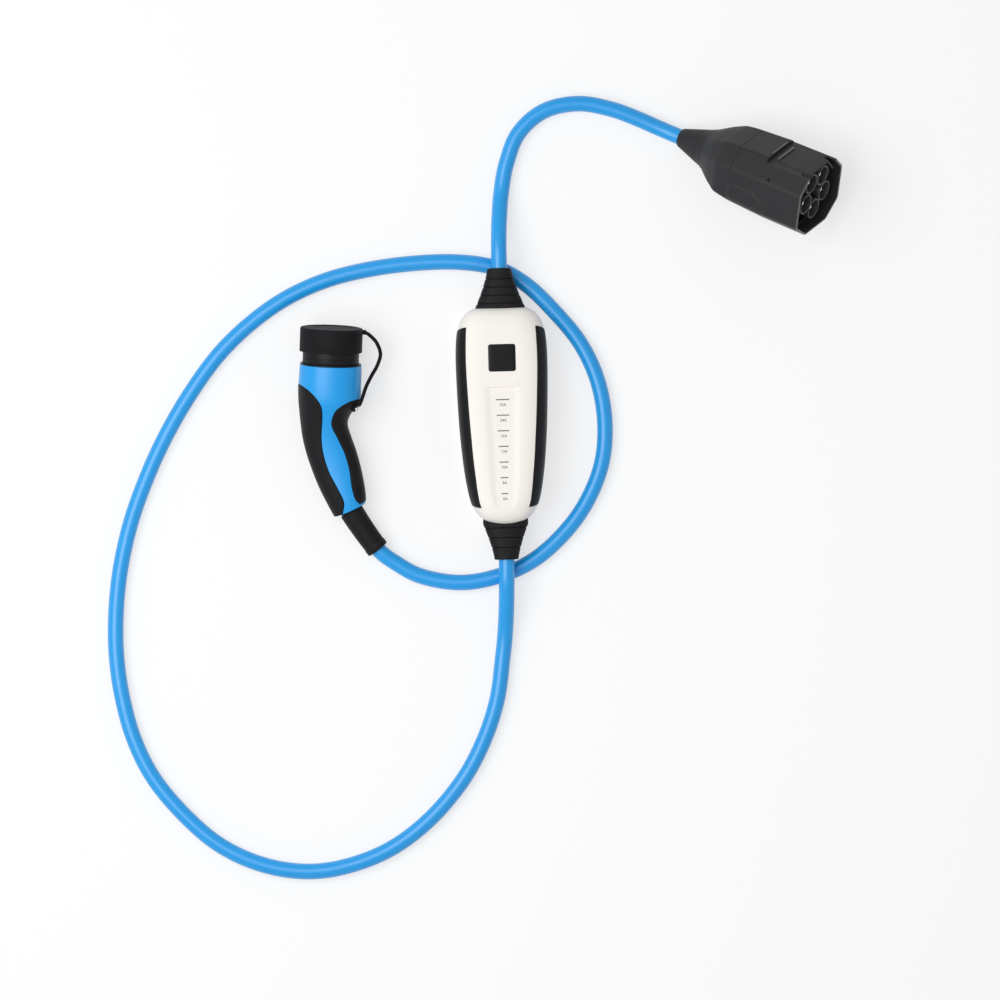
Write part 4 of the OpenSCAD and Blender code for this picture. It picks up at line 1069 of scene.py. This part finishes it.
def handle_grip(name, u_range, span, columns, node):
    """Grip over a range of u, between the two angles that span gives at each u."""
    u = edge_clustered(u_range[0] + END_PLAY, u_range[1] - END_PLAY, 170)
    t = edge_clustered(0, 1, columns)
    first, last = span(u)
    angle = first[:, None] + (last - first)[:, None] * t
    s = smooth_curve(HANDLE, u)
    width = np.linalg.norm(s[:, 2:4] - s[:, 0:2], axis=1) / 2
    from_side = np.minimum(t, 1 - t) * ((last - first) * width)[:, None]
    swell = quarter_round(from_side / SIDE_MARGIN) * pillow(u, END_MARGIN)[:, None]
    lift = -EDGE_SUNK + (HANDLE_PROUD + EDGE_SUNK) * swell
    skin = slab(handle_points(u, angle, -lift),
                handle_points(u, angle, np.full(angle.shape, HANDLE_DENT - SEAT_GAP)))
    return make_piece(name, skin, "soft_grip", [node])


handle_grip("spine_soft_grip", SPINE_RANGE, spine_span, 80, "spine_grip")
finger_soft = handle_grip("finger_soft_grip", FINGER_RANGE, finger_span, 64, "finger_grip")

# %% [markdown]
# ## Collar, nose and contacts
#
# Between the handle and the cap a band of the black nose shows. It is a cylinder with one flat,
# which keys it in the car's inlet. Its face has seven contact holes, hidden until the cap is
# pulled off, so they are real holes here too: drilled into the face over the brass sockets.

# %% Collar and nose
def round_ring(y, radius):
    """Circle of a radius about the handle's own Y axis."""
    x, z = (radius * circle_at(turns(NOSE_COLUMNS))).T
    return np.stack([x, np.full_like(x, y), z], -1)


collar_back, nose_back = HANDLE_FRONT + SEAT_GAP, NOSE_FROM + SEAT_GAP
collar_rows = [(collar_back, 32.6), (2.7, 32.95), (2.95, 33), (3.5, 33), (3.85, 32.9), (NOSE_FROM, 32.5)]
collar_rings = [round_ring(y, r) for y, r in collar_rows]
collar_rings += [nose_ring(y, SEAT_PLAY - SHANK_LESS) for y in (NOSE_FROM, collar_back)]
make_piece("nose_collar_ring", pipe(from_gun(np.array(collar_rings))), "nose", ["nose_collar"])

nose = make_piece("nose_moulding", nose_skin([
    (-SHANK_L, -SHANK_LESS), (nose_back, -SHANK_LESS), (nose_back, -0.15), (NOSE_FROM + 0.25, 0), (9, 0),
    (9.3, -0.45), (10.3, -0.45), (10.6, 0), (NOSE_TIP - 1.4, 0), (NOSE_TIP - 0.6, -0.3),
    (NOSE_TIP - 0.1, -1.0), (NOSE_TIP, -1.8)]), "nose", ["contact_carrier"])
POWER_SPOTS = np.array([[0, 0], [-17.5, 0], [17.5, 0], [-8.9, -15.6], [8.9, -15.6]])
PILOT_SPOTS = np.array([[-9.2, 13.4], [9.2, 13.4]])
POWER_HOLE, PILOT_HOLE, HOLE_BACK, LIP_T = (4.5, 3.3), (3.0, 1.8), -20.1, 6


def hole(spot, radius, y_from, y_to):
    """Round cutter along the nose at a contact's spot across its face."""
    c = radius * circle_at(turns(40)) + [-spot[1], spot[0]]
    return loft(from_gun(np.array([np.insert(c, 1, y, axis=1) for y in (y_from, y_to)])))


contacts = [(s, *POWER_HOLE) for s in POWER_SPOTS] + [(s, *PILOT_HOLE) for s in PILOT_SPOTS]
carve(nose, gathered(*[hole(s, room, HOLE_BACK, NOSE_TIP - LIP_T) for s, room, _ in contacts]))
carve(nose, gathered(*[hole(s, mouth, 0, NOSE_TIP + 1) for s, _, mouth in contacts]))

# %% [markdown]
# ## Protective cap and its strap
#
# A rubber cap pushes over the nose. It is a cup with the nose's own outline, a thumb pad on
# its flat and a soft bead round its mouth. Its strap is a thin round cord of rubber. It starts
# as a bead along the cap's front edge, leaves the cap at a lug and runs in a loop to an eye
# under a screw on the handle. When the cap is pulled off, one end of the strap goes with it and
# the other stays, so the strap rides on neither body and stays fixed in the frame.

# %% Cap
CAP_FRONT, CAP_L, CAP_GAP, CAP_WALL = 42.7, 26.0, 0.3, 2.7
cap_back, cap_out = CAP_FRONT - CAP_L, CAP_GAP + CAP_WALL
PAD = 0.6
cap_rows = [
    (NOSE_TIP + 0.5, -8, 0), (NOSE_TIP + 0.5, CAP_GAP, 0), (cap_back + 1, CAP_GAP, 0),
    (cap_back + 0.1, CAP_GAP + 0.7, 0), (cap_back, CAP_GAP + 1.2, 0), (cap_back, cap_out - 0.5, PAD),
    (cap_back + 0.15, cap_out - 0.15, PAD), (cap_back + 0.5, cap_out, PAD),
    (cap_back + 2.6, cap_out, PAD), (cap_back + 2.9, cap_out - 0.3, PAD),
    (cap_back + 3.4, cap_out - 0.3, PAD), (cap_back + 3.8, cap_out - 0.05, PAD),
    (cap_back + 12, cap_out - 0.05, PAD), (CAP_FRONT - 2.2, cap_out, PAD),
    (CAP_FRONT - 1.1, cap_out - 0.18, PAD), (CAP_FRONT - 0.4, cap_out - 0.7, PAD),
    (CAP_FRONT - 0.08, cap_out - 1.5, PAD), (CAP_FRONT, cap_out - 2.4, 0),
    (CAP_FRONT, -3, 0), (CAP_FRONT - 0.5, -4, 0), (CAP_FRONT - 0.5, -18, 0)]
make_piece("protective_cap_rubber", nose_skin(cap_rows), "cap", ["protective_cap"], body=CAP)

# %% Strap, eye and screw
STRAP_R, SCREW_AT = 2.0, np.array([28, -41, 15.3])
SCREW_TURN = turned("Z", -39) @ turned("Y", 69)
EYE_R, EYE_T, EYE_BORE, SCREW_R, SCREW_BORE = 5.4, 2.6, 1.8, 1.6, 1.7
BEAD_R, BEAD_ANGLE, BEAD_RINGS, BEAD_SUNK, BEAD_BACK = 1.6, 64, 40, 0.5, 2.2
cap_side = NOSE_SHIFT + NOSE_R + cap_out
strap_start = np.array([cap_side + 0.3 + STRAP_R, CAP_FRONT - 4, 0])
strap_route = np.array([
    strap_start, strap_start + [5, -3.2, -4], [48.5, 27, -9.5], [53, 14, -16], [49.8, 1.5, -13],
    [45.2, -7, -7.5], [41.2, -14.8, -1], [38.2, -22, 5.3], [36, -29.5, 10.8],
    SCREW_AT + (STRAP_R + 0.2) * SCREW_TURN[:, 2] + [3.1, 3.4, -0.7]])


def on_screw(radius, height):
    """Circle about the screw's own axis, at a height over the handle, in the handle's points."""
    c = np.insert(radius * circle_at(turns(48)), 2, height, axis=1)
    return c @ SCREW_TURN.T + SCREW_AT


strap_line, strap_length = along_route(strap_route.tolist(), 1.0)
strap_round = tube_rings(strap_line, STRAP_R, 20)
eye = np.array([on_screw(r, h) for r, h in (
    (EYE_BORE, 0), (EYE_R - 0.5, 0), (EYE_R - 0.1, 0.3), (EYE_R, 0.8), (EYE_R, EYE_T - 0.8),
    (EYE_R - 0.15, EYE_T - 0.25), (EYE_R - 0.7, EYE_T), (EYE_BORE, EYE_T))])
lug_outline = rounded_outline(2.4, 3.2, 1.0, 6) + [strap_start[1], 0]
lug = prism(lug_outline, cap_side + 0.05, strap_start[0] + 1.5, 0)
bead_turn = np.radians(np.linspace(BEAD_ANGLE, 0, BEAD_RINGS))[:, None]
bead_size = BEAD_R * np.sqrt(np.clip(np.linspace(0.02, 6, BEAD_RINGS), 0, 1))[:, None]
bead_out, bead_along = circle_at(turns(16)).T
bead_r = NOSE_R + cap_out - BEAD_SUNK + bead_size * bead_out
bead = np.stack([
    NOSE_SHIFT + bead_r * np.cos(bead_turn), CAP_FRONT - BEAD_BACK + bead_size * bead_along,
    bead_r * np.sin(bead_turn)], -1)
strap_points, strap_faces = gathered(loft(strap_round), pipe(eye), lug, loft(bead))
strap = make_piece("cap_strap_rubber", (from_gun(strap_points), strap_faces), "cap", ["cap_strap"],
                   ride=False)
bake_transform(strap)
print(f"  strap is {strap_length:.0f} mm long")

head = [(SCREW_R, -8), (SCREW_R, EYE_T), (3.4, EYE_T), (3.4, EYE_T + 0.7), (3.1, EYE_T + 1.2),
        (2.2, EYE_T + 1.6), (0.8, EYE_T + 1.78)]
strap_screw = make_piece(
    "strap_screw_head", loft(from_gun(np.array([on_screw(r, h) for r, h in head]))), "steel",
    ["strap_screw"])
slot_box = np.array([np.insert(rectangle((-4, 4), (-0.45, 0.45)), 2, z, axis=1)
                     for z in (EYE_T + 0.9, EYE_T + 4)])
carve(strap_screw, loft(from_gun(slot_box @ SCREW_TURN.T + SCREW_AT)))
shank_bore = np.array([on_screw(SCREW_BORE, h) for h in (-9.0, 4.0)])
carve(finger_soft, loft(from_gun(shank_bore)))
carve(handle, loft(from_gun(shank_bore)), 30)

# %% [markdown]
# ## Cord sleeve
#
# Where the cord leaves the handle, a rubber sleeve bends with it. It is a pipe on an arc: the
# rings follow the arc's heading, the outside has a collar at the handle and a lip at its end,
# and the bore is just wider than the cord.

# %% Cord sleeve
def sleeve_ring(s, radius):
    """Circle across the sleeve's line at a length s from the root."""
    middle, heading = sleeve_line(s)
    c = radius * circle_at(turns(48))
    x, y = c[:, 0] * np.cos(heading), c[:, 0] * np.sin(heading)
    return middle + np.stack([x, y, c[:, 1]], -1)


r_cord = CORD_D / 2
lip = SLEEVE_L - 7
COLLAR_S, COLLAR_T, BORE_T = 3.8, 4.5, 0.4
# Each row is a length from the root and a wall over the cord
sleeve_rows = [(-14, SPIGOT_T), (3.4, SPIGOT_T), (3.45, 4.2), (COLLAR_S, COLLAR_T)]
sleeve_rows += [(s, COLLAR_T - (s - COLLAR_S) / (lip - COLLAR_S)) for s in np.linspace(5, lip, 20)]
sleeve_rows += [(lip + 0.3, 3.6), (lip + 0.6, 3.85), (lip + 1, 3.95), (lip + 6, 3.9), (lip + 6.6, 3.7),
                (SLEEVE_L, 3.1), (SLEEVE_L, 0.9), (SLEEVE_L - 1, 0.45)]
sleeve_rows += [(s, BORE_T) for s in np.linspace(SLEEVE_L - 4, 0, 12)] + [(-14, BORE_T)]
sleeve = make_piece(
    "cord_sleeve_rubber", pipe(from_gun(np.array([sleeve_ring(s, r_cord + w) for s, w in sleeve_rows]))),
    "boot", ["cord_sleeve"])

# %% [markdown]
# ## Supply connector: boot and shell
#
# The supply connector has its own frame: X runs from the cord to its face, Z to the key side.
# Its shell is eight-sided. A point round it lies at the nearest of its flats, so the radius is
# a minimum over five distances; a soft minimum, a high power mean, rounds the edges as the
# mould does. Along X the shell grows from round at the cord to its full sides.

# %% Eight-sided rings
CON_L, STEP_X, NOSE_BACK, TUBE_FLOOR = 176.0, 122.0, 104.0, 128.0
CON_FRONT, RIM_DEEP, RIM_LESS = CON_L - 5, 12.0, np.array([2.6, 2.6, 2.6, 1.8, 2.2])
SHELL_SIDES = np.array([44.5, 36, 43, 42, 46.5])
NOSE_SIDES = np.array([39.3, 31.6, 36.6, 39.4, 43.4])
CON_COLUMNS, CON_SOFT = 288, 60
UPPER_SLOPE, LOWER_SLOPE = math.sqrt(0.5), (0.62, 0.785)


def sided_radius(angle, sides):
    """Radius at an angle inside five kinds of flat: the sides, the key side, the upper slopes,
    the under side and the lower slopes. One over the radius is the power sum of one over
    each flat's own distance."""
    c, s = np.abs(np.cos(angle)), np.sin(angle)
    up, down = s > 0, s < 0
    slope = LOWER_SLOPE[0] * c - LOWER_SLOPE[1] * s
    near = np.stack([c / sides[0], s * up / sides[1], (c + s) * up * UPPER_SLOPE / sides[2],
                     -s * down / sides[3], slope * down / sides[4]])
    return (near**CON_SOFT).sum(0) ** (-1 / CON_SOFT)


def con_ring(x, sides, roundness=0.0, round_r=0.0):
    """Ring across the supply connector at x, part way from the sided outline to a circle."""
    angle = turns(CON_COLUMNS)
    r = sided_radius(angle, sides) * (1 - roundness) + round_r * roundness
    return np.insert(r[:, None] * circle_at(angle), 0, x, axis=1)


def turned_rings(rows, columns, spot=(0, 0)):
    """Rings turned about an axis along the connector's X at a spot, from (x, radius) rows."""
    c = circle_at(turns(columns))
    return from_con(np.array([np.insert(r * c + spot, 0, x, axis=1) for x, r in rows]))


print("sides of the shell, mm:", SHELL_SIDES)

# %% Connector boot
RIB_DEEP, RIB_PITCH, RIBS_TO, CON_SPIGOT = 0.4, 2.6, 31, 4.9
boot_x = np.arange(0.6, 35.8, 0.25)
ribs = RIB_DEEP * np.clip(np.sin(boot_x / RIB_PITCH * 2 * np.pi) * 2 - 1, 0, 1) * (boot_x < RIBS_TO)
boot_r = np.interp(boot_x, [0, 22, 36], [r_cord + 1.5, 17.4, 21.9]) - ribs
boot_rows = [(10.0, r_cord + 0.2), (0.4, r_cord + 0.4), (0, r_cord + 0.7), (0.2, r_cord + 1.2)]
boot_rows += list(zip(boot_x, boot_r))
boot_rows += [(35.9, 21.8), (35.9, r_cord + CON_SPIGOT), (59, r_cord + CON_SPIGOT), (59, r_cord + 0.2)]
con_boot = make_piece("connector_boot_rubber", pipe(turned_rings(boot_rows, 72)), "boot", ["connector_boot"],
                      finish="shell")

# %% [markdown]
# ## Shell and its details
#
# The shell has a thin rim in front, round a deep mouth. Past a step it is cut open on the key
# side, which bares the tongue of the nose. A seam crosses the key side and its slopes as a fine
# groove, and a low panel with soft edges and a slanted end stands on one of the sides. The
# rings are dense at the seam and the step, and groove and panel are only offsets of the radius.
# The front edge has a thin paler ring, a painted highlight where the edge catches the light, and one upper
# slope a drain hole.

# %% Connector shell
SHELL_TABLE = np.array([
    [36, 0.45, 1, 22], [44, 0.62, 0.7, 27], [55, 0.77, 0.35, 34], [66, 0.895, 0.04, 36],
    [78, 0.93, 0, 36], [122, 0.985, 0, 36], [176, 1, 0, 36]])
SEAM_X, SEAM_DEEP, SEAM_HALF = 86.0, 0.55, 0.35
PANEL_ANGLE, PANEL_HALF, PANEL_HIGH, PANEL_SLANT = 194.0, 12, 1.0, 0.9
SOFTEN = 9
shell_x = np.concatenate([
    np.linspace(36, SEAM_X - 1, 60), np.linspace(SEAM_X - 0.8, SEAM_X + 0.8, 17),
    np.linspace(SEAM_X + 1, STEP_X - 6, 30), np.linspace(STEP_X - 5.8, STEP_X + 0.4, 20),
    np.linspace(STEP_X + 1, CON_L - 1.6, 34)])


def softened(values):
    """Running mean over nine rings, with the end values held."""
    return np.convolve(np.pad(values, SOFTEN // 2, mode="edge"), np.ones(SOFTEN) / SOFTEN, "valid")


shell_scale, shell_round, shell_circle = [
    softened(np.interp(shell_x, SHELL_TABLE[:, 0], column)) for column in SHELL_TABLE[:, 1:].T]
shell_rings = np.array([con_ring(x, SHELL_SIDES * k, w, r) for x, k, w, r in zip(
    shell_x, shell_scale, shell_round, shell_circle)])
ring_x, shell_angle = shell_x[:, None], turns(CON_COLUMNS)[None, :]
seam = SEAM_DEEP * np.clip(1.5 - np.abs(ring_x - SEAM_X) / SEAM_HALF, 0, 1)
seam = seam * smooth_step((np.sin(shell_angle) - 0.28) / 0.08)
from_middle = np.degrees(shell_angle) - PANEL_ANGLE
panel_from, panel_to = SEAM_X - 4, STEP_X + 8 + PANEL_SLANT * from_middle
panel = smooth_step((ring_x - panel_from) / 8) * smooth_step((panel_to - ring_x) / 2.5)
panel = PANEL_HIGH * panel * smooth_step((PANEL_HALF - np.abs(from_middle)) / 3)
shell_rings = shell_rings + unit(shell_rings * [0, 1, 1]) * (panel - seam)[..., None]
rim_rings = [con_ring(x, SHELL_SIDES - g) for x, g in (
    (CON_L - 0.8, 0.1), (CON_L - 0.2, 0.4), (CON_L, 0.8), (CON_L, RIM_LESS - 0.4),
    (CON_L - 0.4, RIM_LESS), (CON_L - RIM_DEEP, RIM_LESS))]
seat_rings = [con_ring(x, NOSE_SIDES + SEAT_PLAY) for x in (CON_L - RIM_DEEP, NOSE_BACK)]
shell = make_piece(
    "connector_shell_moulding", loft(from_con(np.concatenate([shell_rings, rim_rings, seat_rings]))),
    "shell", ["connector_shell"], sharp=30)


def con_block(x, y, z):
    """Upright block of the connector's own frame, from (low, high) pairs."""
    return loft(from_con(np.array([np.insert(rectangle(y, z), 0, a, axis=1) for a in x])))


KEY_Z, TONGUE_Z, WIDE = 31, 15, (-60, 60)
key_cut = con_block((STEP_X, STEP_X + 100), WIDE, (KEY_Z, KEY_Z + 60))
carve(shell, key_cut, 30)
rim_skin = [con_ring(x, SHELL_SIDES - g) for x, g in (
    (CON_L - 1.0, 0.08), (CON_L - 0.8, 0.05), (CON_L - 0.2, 0.34), (CON_L + 0.05, 0.78),
    (CON_L + 0.05, RIM_LESS - 0.4), (CON_L - 0.38, RIM_LESS + 0.04), (CON_L - 0.8, RIM_LESS + 0.04),
    (CON_L - 0.8, RIM_LESS - 0.6), (CON_L - 0.8, 0.8))]
# The paler ring along the front edge is a painted highlight, not wear.
rim_edge = make_piece("connector_rim_edge", pipe(from_con(np.array(rim_skin))), "shell", finish="painted_edge_highlight")
carve(rim_edge, key_cut, 30)
bore = [(x, r_cord + CON_SPIGOT + SEAT_PLAY) for x in (20, 60)]
carve(shell, loft(turned_rings(bore, 64)), 30)
DRAIN_AT, DRAIN_ANGLE, DRAIN_FROM, DRAIN_TO = 134.0, math.radians(154), 42.0, 60
drain_out = np.array([0, math.cos(DRAIN_ANGLE), math.sin(DRAIN_ANGLE)])
drain_side = np.array([0, -math.sin(DRAIN_ANGLE), math.cos(DRAIN_ANGLE)])
drain = np.array([[[DRAIN_AT + a, 0, 0] + r * drain_out + b * drain_side
                   for a, b in rectangle((-2.2, 2.2), (-1.5, 1.5))] for r in (DRAIN_FROM, DRAIN_TO)])
carve(shell, loft(from_con(drain)), 30)

# %% [markdown]
# ## Nose, tubes and pins
#
# The nose is a cup in the shell. Only its key side runs on to the front, as a tongue over the
# two upper tubes. Two bars lie across near the step, one on the shell and one on the tongue.
# Five tubes with thin walls stand in the cup on a circle, each with a steel pin that has a
# rounded tip, as on supply connectors for three phases.

# %% Connector nose
nose_rows = [
    (NOSE_BACK + 0.1, 0.4), (NOSE_BACK + 0.5, 0), (150, 0), (CON_FRONT - 2, 0), (CON_FRONT - 0.9, 0.15),
    (CON_FRONT - 0.2, 0.7), (CON_FRONT, 1.4), (CON_FRONT - 0.1, 2.2), (CON_FRONT - 0.7, 2.8),
    (CON_FRONT - 2, 3), (150, 3), (TUBE_FLOOR, 3)]
con_nose = make_piece(
    "connector_nose_moulding", loft(from_con(np.array([con_ring(x, NOSE_SIDES - g) for x, g in nose_rows]))),
    "shell", ["connector_nose"], sharp=30)
carve(con_nose, con_block((CON_L - RIM_DEEP - 3, CON_L + 20), WIDE, (-80, TONGUE_Z)), 30)


def bar_across(x, z, half_y, wide, high):
    """Round-edged bar that lies across the key side, with its ends drawn in a little."""
    outline = rounded_outline(wide / 2, high / 2, min(wide, high) * 0.35, 6)
    ends = [(-half_y, 0.75), (-half_y + 0.6, 1.0), (half_y - 0.6, 1.0), (half_y, 0.75)]
    rings = [np.insert(outline * k + [x, z], 1, y, axis=1) for y, k in ends]
    return loft(from_con(np.array(rings)))


bars = gathered(bar_across(STEP_X - 1.1, SHELL_SIDES[1] * 0.985, 15.0, 1.8, 1.2),
                bar_across(STEP_X + 7.5, NOSE_SIDES[1] + 0.9, 16.0, 2.6, 2.4))
# Both bars take the paler finish as a painted highlight for the light their edges catch.
key_bars = make_piece("connector_key_bars", bars, "shell", finish="painted_edge_highlight")

# %% Tubes and pins
PIN_CIRCLE, PIN_ANGLES = 20, np.radians(-90 + 72 * np.arange(5))
PIN_SPOTS = PIN_CIRCLE * circle_at(PIN_ANGLES)
TUBE_R, BORE_R, PIN_R, ROOT_R, PIN_TIP = 11.5, 9.8, 3.0, 2.0, CON_L - 8.5
tube_back, tube_bed = TUBE_FLOOR + SEAT_GAP, TUBE_FLOOR + 3
tube_rows = [
    (tube_back, ROOT_R + SEAT_PLAY), (tube_back, TUBE_R), (CON_FRONT - 1, TUBE_R),
    (CON_FRONT - 0.3, TUBE_R - 0.15), (CON_FRONT, TUBE_R - 0.5), (CON_FRONT, BORE_R + 0.5),
    (CON_FRONT - 0.3, BORE_R + 0.1), (CON_FRONT - 1, BORE_R), (tube_bed, BORE_R),
    (tube_bed, ROOT_R + SEAT_PLAY)]
tubes = make_piece("contact_tubes", gathered(*[pipe(turned_rings(tube_rows, 56, s)) for s in PIN_SPOTS]),
                   "tubes", ["tube_block"])
pin_rows = [
    (TUBE_FLOOR, ROOT_R), (tube_bed + SEAT_GAP, ROOT_R), (tube_bed + SEAT_GAP, PIN_R),
    (PIN_TIP - 2.3, PIN_R), (PIN_TIP - 1.3, PIN_R - 0.25), (PIN_TIP - 0.5, PIN_R - 0.9),
    (PIN_TIP - 0.1, PIN_R - 1.8), (PIN_TIP, 0.6)]
pins = make_piece("supply_pin_set", gathered(*[loft(turned_rings(pin_rows, 40, s)) for s in PIN_SPOTS]),
                  "steel", ["supply_pins"])

# %% [markdown]
# ## Finishes for the pieces that stay from the CAD
#
# The parts inside the box and the sockets in the nose are good as they are, so they keep their
# CAD solids. Each gets the finish of its slot, by its node's name.

# %% Finishes for CAD nodes
kept_nodes = {
    "housing_seal": "soft_grip", "light_guide": "light", "circuit_board": "board",
    "board_screws": "steel", "power_relays": "relays", "current_sensor": "core",
    "terminal_blocks": "terminals", "supply_leads": "leads", "charge_leads": "leads",
    "power_sockets": "contacts", "pilot_sockets": "contacts"}
for node, slot in kept_nodes.items():
    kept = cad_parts[node]
    kept.data.materials.clear()
    kept.data.materials.append(finishes[slot])
print(len(kept_nodes), "CAD nodes keep their solids")

# %% [markdown]
#
# Both cords bend in real life. For each, a table lists where it leaves the box and which pieces
# hang at its end, and its length along its middle line is printed.

# %% Cord ends and lengths
cord_ends = {
    "supply_cord": ((0, SUPPLY_END_Y, CORD_Z), [con_boot, shell, rim_edge, con_nose, key_bars, tubes, pins]),
    "charge_cord": ((0, CHARGE_END_Y, CORD_Z), [sleeve])}
for node, (leaves_at, pieces) in cord_ends.items():
    jacket, line = cords[node]
    length = float(np.linalg.norm(np.diff(line, axis=0), axis=1).sum())
    print(f"{node}: {length:.3f} m")
